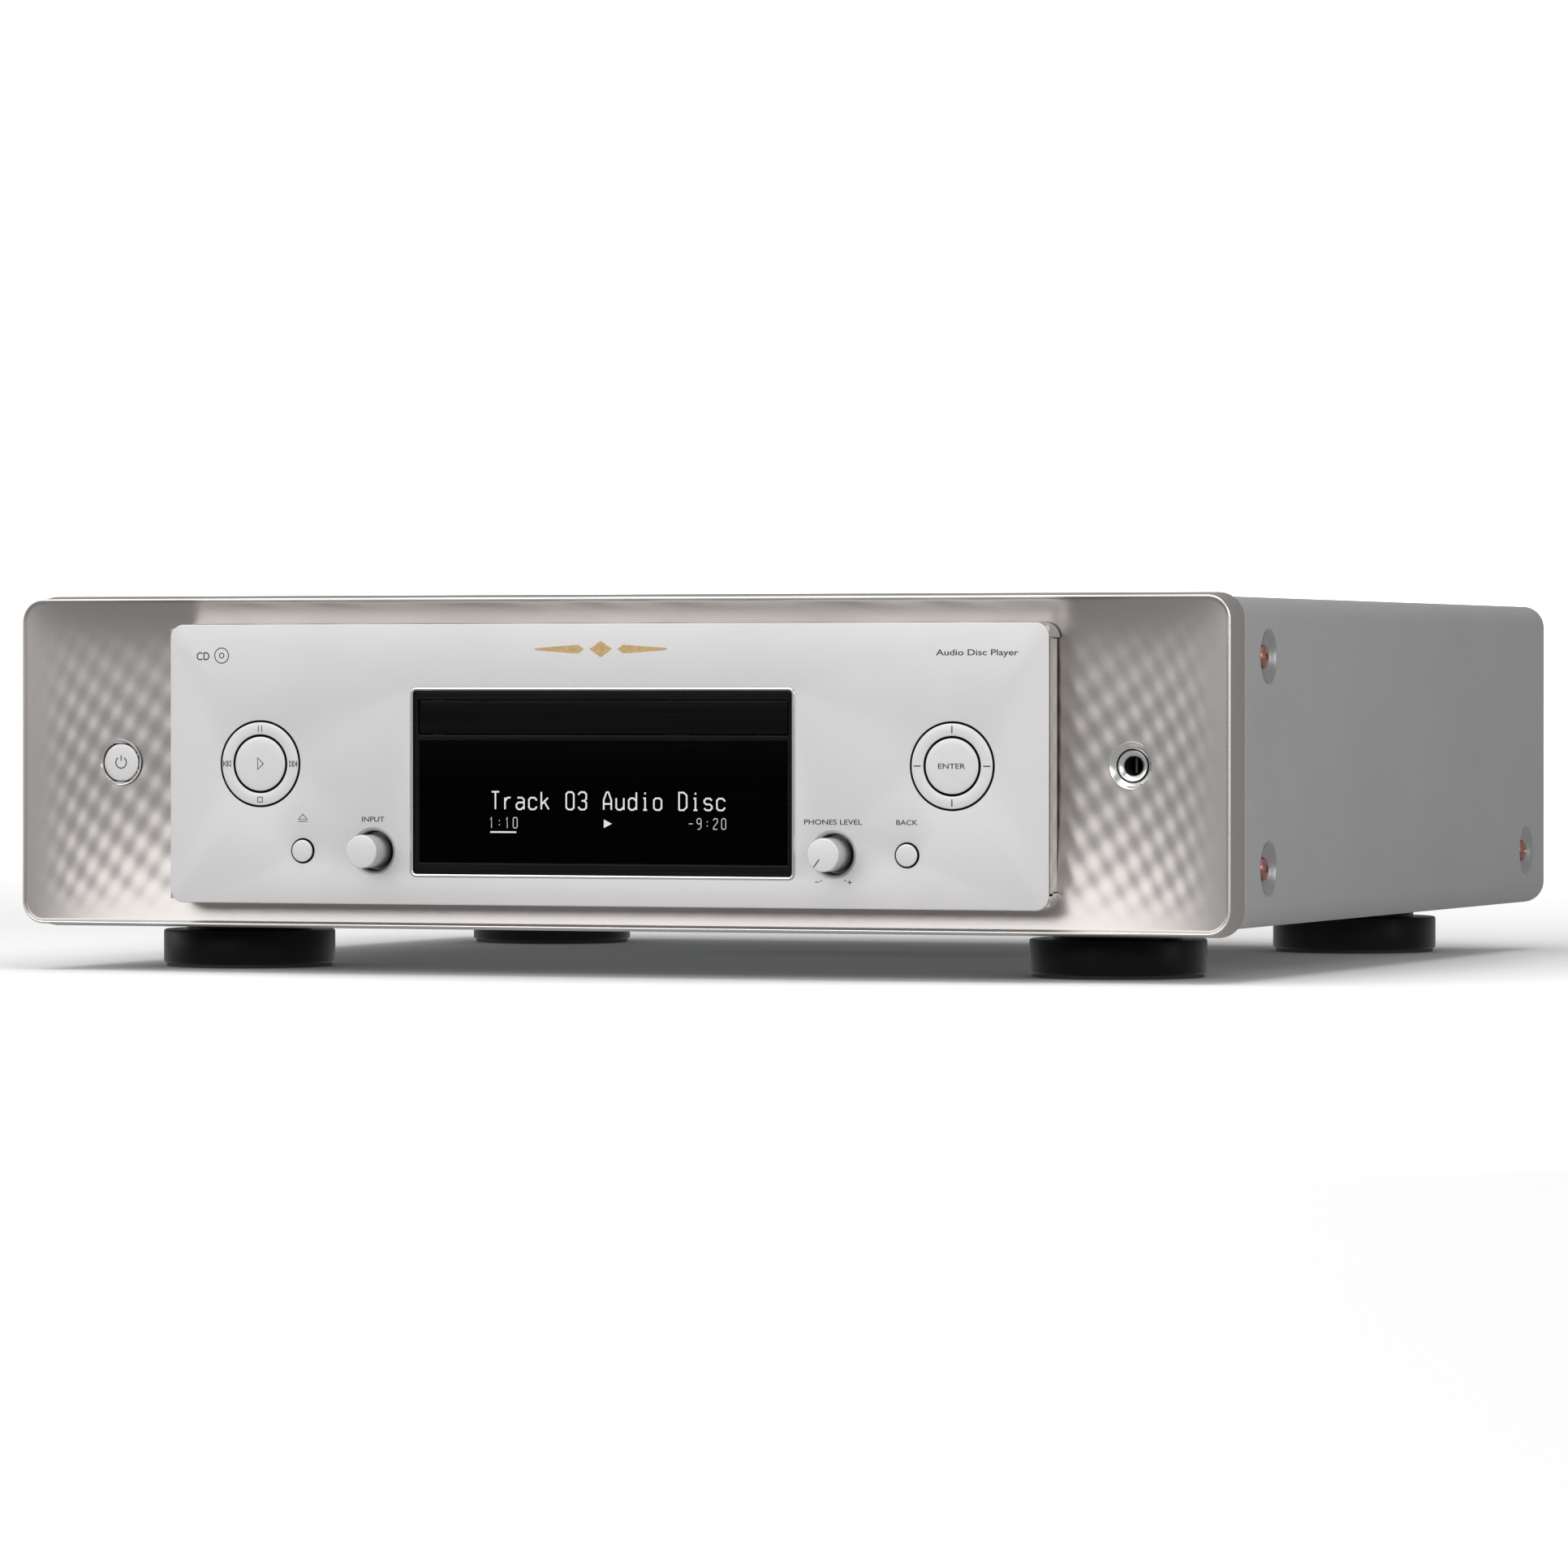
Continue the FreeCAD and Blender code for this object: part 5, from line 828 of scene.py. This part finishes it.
def cover_section():
    """(x, z, inward x) along the wrapped sheet's outside, from one turned-in lip to the other."""
    fine = [(COVER_LO[2] / MM + 8, 1.6), (26.5, 0.55), (48.5, 6), (97.5, 0.55), (119.5, 1)]
    fine.append((COVER_HI[2] / MM - 8, 1))
    half = [(COVER_HI[0] - COVER_CORNER - 2 * MM, COVER_LO[2], 0.0)]
    for i in range(13):
        a = math.radians(-90 + 90 * i / 12)
        half.append((COVER_HI[0] - COVER_CORNER * (1 - math.cos(a)),
                     COVER_LO[2] + COVER_CORNER * (1 + math.sin(a)), 0.0))
    for z in stations(fine)[1:]:
        half.append((COVER_HI[0], z * MM, -1.0))
    for i in range(1, 13):
        a = math.radians(90 * i / 12)
        half.append((COVER_HI[0] - COVER_CORNER * (1 - math.cos(a)),
                     COVER_HI[2] - COVER_CORNER * (1 - math.sin(a)), 0.0))
    across = [(x * MM, COVER_HI[2], 0.0) for x in range(192, -193, -24)]
    mirrored = [(-x, z, -inward) for x, z, inward in reversed(half)]
    return half + across + mirrored


def top_cover():
    section = cover_section()
    ys = stations([(COVER_LO[1] / MM, 5), (-163, 0.55), (-141, 12), (168, 0.55), (190, 5),
                   (COVER_HI[1] / MM, 1)])
    bm = bmesh.new()
    rows = []
    for y in ys:
        row = []
        for x, z, inward in section:
            row.append(bm.verts.new((x + inward * pressed(y * MM, z), y * MM, z)))
        rows.append(row)
    for row, following in zip(rows, rows[1:]):
        for i in range(len(section) - 1):
            bm.faces.new((row[i], row[i + 1], following[i + 1], following[i]))
    piece = finished(bm, "cover_shell", COVER_PAINT, sharp=60)
    piece.data.update()
    refinish(piece, PRESSED_METAL, lambda face: abs(face.center.x) > COVER_HI[0] - 5 * MM and
             pressed(face.center.y, face.center.z) > 0.08 * MM)
    outward = piece.data.polygons[len(piece.data.polygons) // 2].normal.z > 0
    solid = piece.modifiers.new("sheet", "SOLIDIFY")
    solid.thickness = SHEET
    solid.offset = -1.0 if outward else 1.0
    edge = piece.modifiers.new("edge", "BEVEL")
    edge.width = 0.25 * MM
    edge.segments = 2
    edge.limit_method = "ANGLE"
    edge.angle_limit = math.radians(60)
    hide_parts("top_cover")


def side_screws():
    """Copper-coloured pan heads with a rounded crown and a cross recess."""
    for side in (-1, 1):
        for number, (y, z) in enumerate(SCREW_SITES, 1):
            seat = COVER_HI[0] - DISH_DEEP + 0.05 * MM
            bm = bmesh.new()
            profile = [(0.0, 2.35), (1.3, 2.33), (2.4, 2.22), (3.1, 2.02), (3.6, 1.66), (3.86, 1.2),
                       (3.9, 0.75), (3.82, 0.3), (3.6, 0.0), (0.0, 0.0)]
            lathe_bm(bm, [(r * MM, h * MM) for r, h in profile], 0.0, 0.0, 48, "Z")
            bmesh.ops.transform(bm, matrix=Matrix.Rotation(math.radians(90 * side), 4, "Y"), verts=bm.verts)
            bmesh.ops.translate(bm, vec=(side * seat, y, z), verts=bm.verts)
            name = f"side_screw_{side_name(side, 'left', 'right')}_{number}"
            head = finished(bm, name, COPPER)
            cross_recess(head, side, seat, y, z, number)
            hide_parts("cover_screws")


def cross_recess(head, side, seat, y, z, number):
    """Cuts the tapered cross of a driver recess into a screw head."""
    bm = bmesh.new()
    spin = Matrix.Rotation(math.radians(23 * number + 11 * side), 3, "X")
    for half_y, half_z in ((0.52, 2.3), (2.3, 0.52)):
        corners = []
        for depth, taper in ((0.35, 0.4), (3.2, 1.0)):
            for sy, sz in ((-1, -1), (1, -1), (1, 1), (-1, 1)):
                offset = spin @ Vector((0, sy * half_y * taper * MM, sz * half_z * taper * MM))
                corners.append(bm.verts.new((side * (seat + depth * MM), y + offset.y, z + offset.z)))
        for face in ((0, 1, 2, 3), (7, 6, 5, 4), (0, 4, 5, 1), (1, 5, 6, 2), (2, 6, 7, 3), (3, 7, 4, 0)):
            bm.faces.new([corners[i] for i in face])
    bmesh.ops.recalc_face_normals(bm, faces=bm.faces)
    mesh = bpy.data.meshes.new(head.name + "_recess")
    bm.to_mesh(mesh)
    bm.free()
    cutter = bpy.data.objects.new(head.name + "_recess", mesh)
    bpy.context.scene.collection.objects.link(cutter)
    cut = head.modifiers.new("recess", "BOOLEAN")
    cut.object = cutter
    cut.solver = "EXACT"
    cut.use_self = True
    apply_modifiers(head)
    bpy.data.objects.remove(cutter)


def apply_modifiers(piece):
    """Bakes a piece's modifiers into its mesh."""
    graph = bpy.context.evaluated_depsgraph_get()
    mesh = bpy.data.meshes.new_from_object(piece.evaluated_get(graph))
    piece.modifiers.clear()
    piece.data = mesh


def feet():
    """Broad turned drums with a broken top edge, under narrower necks."""
    low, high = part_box("feet")
    r = 30.2 * MM
    places = [(side * (high[0] - r), y) for side in (-1, 1) for y in (low[1] + r, high[1] - r)]
    for number, (x, y) in enumerate(places, 1):
        z0, z1 = low[2] - 0.1 * MM, 13.15 * MM
        profile = [(9.0 * MM, z0), (r - 1.0 * MM, z0), (r - 0.45 * MM, z0 + 0.12 * MM),
                   (r - 0.1 * MM, z0 + 0.5 * MM), (r, z0 + 0.9 * MM), (r, z1 - 0.8 * MM),
                   (r - 0.12 * MM, z1 - 0.45 * MM), (r - 0.4 * MM, z1 - 0.15 * MM), (r - 0.9 * MM, z1),
                   (27.0 * MM, z1), (26.6 * MM, z1 - 0.3 * MM), (25.4 * MM, z1 - 0.3 * MM),
                   (25.0 * MM, z1), (22.0 * MM, z1), (22.0 * MM, high[2]), (9.0 * MM, high[2]),
                   (9.0 * MM, z0)]
        piece = lathe(f"foot_{number}", profile, x, y, FOOT_BLACK, count=128, axis="Z")
        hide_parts("feet")


# Printed and engraved marks ------------------------------------------------------------

def thicken(bm, points, width, y, closed=False):
    """Flat ribbon of even width along a run of (x, z) points, with mitred corners."""
    spots = [Vector(p) for p in points]
    count = len(spots)
    left, right = [], []
    for i, spot in enumerate(spots):
        before = spots[i - 1] if i or closed else None
        after = spots[(i + 1) % count] if i < count - 1 or closed else None
        ways = []
        if before is not None:
            ways.append((spot - before).normalized())
        if after is not None:
            ways.append((after - spot).normalized())
        way = (ways[0] + ways[-1]).normalized() if (ways[0] + ways[-1]).length > 1e-6 else ways[0]
        normal = Vector((-way.y, way.x))
        stretch = 1 / max(0.5, normal.dot(Vector((-ways[0].y, ways[0].x))))
        shift = normal * width / 2 * stretch
        left.append(bm.verts.new((spot.x + shift.x, y, spot.y + shift.y)))
        right.append(bm.verts.new((spot.x - shift.x, y, spot.y - shift.y)))
    for i in range(count if closed else count - 1):
        j = (i + 1) % count
        bm.faces.new((left[i], left[j], right[j], right[i]))


def marks(name, y, material, lines=(), loops=(), fills=(), width=0.3 * MM, body="chassis"):
    """One printed piece made of open lines, closed lines and filled shapes."""
    bm = bmesh.new()
    for points in lines:
        thicken(bm, points, width, y)
    for points in loops:
        thicken(bm, points, width, y, closed=True)
    for points in fills:
        bm.faces.new([bm.verts.new((x, y, z)) for x, z in points])
    for face in bm.faces:
        face.normal_update()
        if face.normal.y > 0:
            face.normal_flip()
    mesh = bpy.data.meshes.new(name)
    bm.to_mesh(mesh)
    bm.free()
    placed(name, mesh, material, body)


def shifted(points, x, z, scale=MM):
    return [(x + px * scale, z + pz * scale) for px, pz in points]


def ring_icons():
    """Thin line icons on the two ring controls and the buttons inside them."""
    ring_y = PLATE_Y - 0.215 * MM
    left = -RING_X
    bars = [shifted([(dx, 10.9), (dx, 13.15)], left, RING_Z) for dx in (-0.62, 0.62)]
    stop = shifted([(-0.85, -13.15), (0.85, -13.15), (0.85, -11.45), (-0.85, -11.45)], left, RING_Z)
    triangles = []
    edges = []
    for side in (-1, 1):
        for near in (11.05, 12.3):
            tip = near + 1.3
            triangles.append(shifted([(side * near, 1.0), (side * tip, 0.0), (side * near, -1.0)], left,
                                     RING_Z))
        edges.append(shifted([(side * 13.7, 1.0), (side * 13.7, -1.0)], left, RING_Z))
    marks("transport_icons", ring_y, INK, lines=bars + edges, loops=triangles + [stop], width=0.3 * MM,
          body="transport_ring")
    ticks = [shifted([(ux * reach, uz * reach) for reach in (11.0, 13.5)], RING_X, RING_Z)
             for ux, uz in ((0, -1), (0, 1), (-1, 0), (1, 0))]
    marks("nav_ticks", ring_y, INK, lines=ticks, width=0.42 * MM, body="nav_ring")
    button_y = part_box("play_button")[0][1] - 0.015 * MM
    play = shifted([(-0.8, 2.0), (1.3, 0.0), (-0.8, -2.0)], left, RING_Z)
    marks("play_icon", button_y, INK, loops=[play], width=0.32 * MM, body="play_button")
    label("enter_label", "ENTER", RING_X, RING_Z, 9.6 * MM, 1.75 * MM, button_y, INK, "enter_button")
    arc = [(2.0 * math.sin(math.radians(a)), 2.0 * math.cos(math.radians(a))) for a in range(36, 325, 12)]
    lines = [shifted(arc, -WING_X, WING_Z), shifted([(0, 0.5), (0, 2.5)], -WING_X, WING_Z)]
    marks("power_icon", POWER_Y - 0.115 * MM, INK, lines=lines, width=0.40 * MM, body="power_button")


def label(name, text, x, z, width, height, y, material, body="chassis"):
    """Flat lettering centred at (x, z) and fitted to a width and a capital height."""
    curve = bpy.data.curves.new(name, "FONT")
    curve.body = text
    curve.offset = 0.014
    source = bpy.data.objects.new(name, curve)
    bpy.context.scene.collection.objects.link(source)
    mesh = bpy.data.meshes.new_from_object(source.evaluated_get(bpy.context.evaluated_depsgraph_get()))
    bpy.data.objects.remove(source)
    xs = [v.co.x for v in mesh.vertices]
    zs = [v.co.y for v in mesh.vertices]
    scale_x = width / (max(xs) - min(xs))
    scale_z = height / (max(zs) - min(zs))
    for v in mesh.vertices:
        v.co = (x + (v.co.x - (max(xs) + min(xs)) / 2) * scale_x, y,
                z + (v.co.y - (max(zs) + min(zs)) / 2) * scale_z)
    mesh.materials.clear()
    placed(name, mesh, material, body)


def plate_marks():
    """Function labels, the eject sign, the level knob's marks and a plain gold inlay."""
    y = PLATE_Y - 0.012 * MM
    row = 53.2 * MM
    label("input_label", "INPUT", -KNOB_X, row, 8.4 * MM, 1.75 * MM, y, INK)
    label("level_label", "PHONES LEVEL", KNOB_X, row, 20.6 * MM, 1.75 * MM, y, INK)
    label("back_label", "BACK", KEY_X, row, 7.6 * MM, 1.75 * MM, y, INK)
    label("type_label", "Audio Disc Player", 134.5 * MM, 109.6 * MM, 29 * MM, 2.7 * MM, y, INK)
    label("format_label", "CD", -147.2 * MM, 109.0 * MM, 4.8 * MM, 2.8 * MM, y, INK)
    disc = [[(r * math.cos(TAU * i / 48) - 140.2, r * math.sin(TAU * i / 48) + 109.2) for i in range(48)]
            for r in (2.6, 0.85)]
    marks("disc_sign", y, INK, loops=[shifted(ring, 0.0, 0.0) for ring in disc], width=0.36 * MM)
    eject = shifted([(-1.65, -0.1), (1.65, -0.1), (0.0, 1.6)], -KEY_X, row)
    marks("eject_sign", y, INK, loops=[eject], width=0.28 * MM,
          lines=[shifted([(-1.75, -0.85), (1.75, -0.85)], -KEY_X, row)])
    below = KNOB_Z - 9.3 * MM
    dots = [shifted([(0.26 * math.cos(TAU * i / 12), 0.26 * math.sin(TAU * i / 12)) for i in range(12)],
                    KNOB_X + dx, below + 0.5 * MM) for dx in (-4.3 * MM, 4.3 * MM)]
    signs = [shifted([(-6.4, 0), (-5.0, 0)], KNOB_X, below), shifted([(5.2, 0), (6.6, 0)], KNOB_X, below),
             shifted([(5.9, -0.7), (5.9, 0.7)], KNOB_X, below)]
    marks("level_signs", y, INK, lines=signs, fills=dots, width=0.30 * MM)
    gold_z = 111.2 * MM
    shapes = [shifted([(-4.2, 0), (0, -2.8), (4.2, 0), (0, 2.8)], 0.0, gold_z)]
    for side in (-1, 1):
        blade = [(side * 6.0, 0.0), (side * 8.2, -1.5), (side * 23.9, -0.35), (side * 23.9, 0.35),
                 (side * 8.2, 1.5)]
        shapes.append(shifted(blade, 0.0, gold_z))
    marks("gold_inlay", y, GOLD, fills=shapes)


# Display -------------------------------------------------------------------------------

# Each sign is drawn as strokes on a grid 8 wide and 18 tall: strokes part at '/', points at ' '.
SIGNS = {
    "T": "0,18 8,18/4,18 4,0",
    "r": "1,0 1,12/1,8 3,11 4,12 7,12",
    "a": "1,12 6,12 8,10 8,0/8,7 2,7 0,5 0,2 2,0 5,0 8,3",
    "c": "8,9 8,10 6,12 2,12 0,10 0,2 2,0 6,0 8,2 8,3",
    "k": "0,0 0,18/7,12 0,5/3,8 8,0",
    "A": "0,0 0,10 3,18 5,18 8,10 8,0/0,6 8,6",
    "u": "0,12 0,2 2,0 5,0 8,3/8,12 8,0",
    "d": "8,18 8,0/8,3 5,0 2,0 0,2 0,10 2,12 5,12 8,9",
    "i": "2,12 4,12 4,0/2,0 6,0/4,16 4,18",
    "o": "2,0 0,2 0,10 2,12 6,12 8,10 8,2 6,0 2,0",
    "D": "0,0 0,18 5,18 8,15 8,3 5,0 0,0",
    "s": "8,10 6,12 2,12 0,10 0,8 2,6 6,6 8,4 8,2 6,0 2,0 0,2",
    "0": "2,0 0,2 0,16 2,18 6,18 8,16 8,2 6,0 2,0",
    "1": "2,14 4,18 4,0",
    "2": "0,15 0,16 2,18 6,18 8,16 8,12 0,3 0,0 8,0",
    "3": "0,15 0,16 2,18 6,18 8,16 8,11 6,9 3,9/6,9 8,7 8,2 6,0 2,0 0,2 0,3",
    "9": "1,0 5,0 8,4 8,16 6,18 2,18 0,16 0,11 2,9 6,9 8,11",
    ":": "4,4.5 4,6.5/4,11.5 4,13.5",
    "-": "0,9 8,9",
    " ": "",
}


def written(text, x, z, pitch, sign_w, sign_h):
    """Strokes of a line of text that starts at x with its foot at z."""
    strokes = []
    for place, letter in enumerate(text):
        for stroke in SIGNS[letter].split("/"):
            points = [tuple(float(n) for n in pair.split(",")) for pair in stroke.split()]
            if points:
                strokes.append([(x + place * pitch + px / 8 * sign_w, z + pz / 18 * sign_h)
                                for px, pz in points])
    return strokes


def display():
    """Lit text and signs on the display's dark front."""
    y = SCREEN_LO[1] - 0.012 * MM
    title = written("Track 03 Audio Disc", -40.4 * MM, 56.9 * MM, 4.55 * MM, 2.75 * MM, 5.9 * MM)
    marks("display_title", y, LIT, lines=title, width=0.56 * MM)
    times = written("1:10", -41.2 * MM, 50.5 * MM, 2.9 * MM, 1.45 * MM, 3.6 * MM)
    times += written("-9:20", 31.4 * MM, 50.5 * MM, 2.95 * MM, 1.45 * MM, 3.6 * MM)
    marks("display_times", y, LIT_DIM, lines=times, width=0.29 * MM)
    under = [shifted([(-40.9, 49.1), (-31.4, 49.1)], 0.0, 0.0)]
    arrow = shifted([(0.6, 50.7), (3.5, 52.15), (0.6, 53.6)], 0.0, 0.0)
    marks("display_signs", y, LIT, lines=under, fills=[arrow], width=0.55 * MM)


# Assembly ------------------------------------------------------------------------------

def finish_cad_nodes():
    """Gives every CAD piece that still shows its slot's finish and softly broken edges."""
    for part in frame["record"]["subparts"]:
        node = frame["nodes"][part["node"]]
        node.data.materials.clear()
        node.data.materials.append(CAD_FINISH[part["material_slot"]])
        if node.hide_render:
            continue
        edge = node.modifiers.new("edge", "BEVEL")
        edge.width = 0.15 * MM
        edge.segments = 2
        edge.limit_method = "ANGLE"
        edge.angle_limit = math.radians(50)


def light(name, place, target, size, power, colour=(1.0, 1.0, 1.0)):
    data = bpy.data.lights.new(name, "AREA")
    data.shape = "RECTANGLE"
    data.size, data.size_y = size
    data.energy = power
    data.color = colour
    lamp = bpy.data.objects.new(name, data)
    lamp.location = place
    lamp.rotation_euler = (Vector(target) - Vector(place)).to_track_quat("-Z", "Y").to_euler()
    bpy.context.scene.collection.objects.link(lamp)
    return lamp


def flat_stage(name, corners, material):
    """Flat four-sided piece of the studio."""
    mesh = bpy.data.meshes.new(name)
    mesh.from_pydata(corners, [], [(0, 1, 2, 3)])
    mesh.materials.append(material)
    piece = bpy.data.objects.new(name, mesh)
    bpy.context.scene.collection.objects.link(piece)
    return piece


def studio():
    """Pale floor and backdrop, a soft light above, a broad key from the front left and small side fills."""
    floor = flat_stage("studio_floor", [(-9, -6, 0), (9, -6, 0), (9, 9, 0), (-9, 9, 0)], FLOOR)
    floor.visible_glossy = False
    wall = flat_stage("studio_backdrop", [(-6.5, 8.8, 0), (1.0, 8.8, 0), (1.0, 8.8, 4), (-6.5, 8.8, 4)],
                      BACKDROP)
    wall.visible_glossy = False
    world = bpy.data.worlds.new("studio")
    world.use_nodes = True
    background = next(n for n in world.node_tree.nodes if n.type == "BACKGROUND")
    background.inputs["Color"].default_value = (1.0, 1.0, 1.0, 1.0)
    background.inputs["Strength"].default_value = 0.42
    bpy.context.scene.world = world
    light("top_light", (0.0, -0.3, 1.5), (0.0, -0.1, 0.05), (1.8, 1.4), 17.0)
    light("key_light", (-0.9, -2.3, 1.15), (0.0, -0.1, 0.10), (2.6, 1.5), 28.0)
    light("side_light", (0.80, -0.80, 0.35), (0.22, -0.18, 0.08), (0.5, 0.4), 2.6)
    light("right_light", (0.95, -0.12, 0.14), (0.22, -0.12, 0.08), (0.25, 0.25), 0.32)
    light("left_light", (-2.4, -0.2, 0.6), (-0.2, 0.0, 0.07), (1.6, 1.0), 8.0)


def camera():
    """Long lens from the front right, barely above the object."""
    data = bpy.data.cameras.new("camera")
    data.sensor_width = 36.0
    data.lens = 185.13
    data.clip_end = 50.0
    eye = bpy.data.objects.new("camera", data)
    eye.location = (1003.1 * MM, -2737.3 * MM, 98.3 * MM)
    eye.rotation_euler = (math.radians(90 - 0.687), 0.0, math.radians(20.28))
    bpy.context.scene.collection.objects.link(eye)
    bpy.context.scene.camera = eye


front_panel()
fascia_plate()
groove_ends()
window()
display()
for right in (-1, 1):
    ring_control(right)
    knob(right)
push_buttons()
bezels()
jack()
ring_icons()
plate_marks()
top_cover()
side_screws()
feet()
finish_cad_nodes()
studio()
camera()
bpy.context.scene.view_settings.view_transform = "Standard"
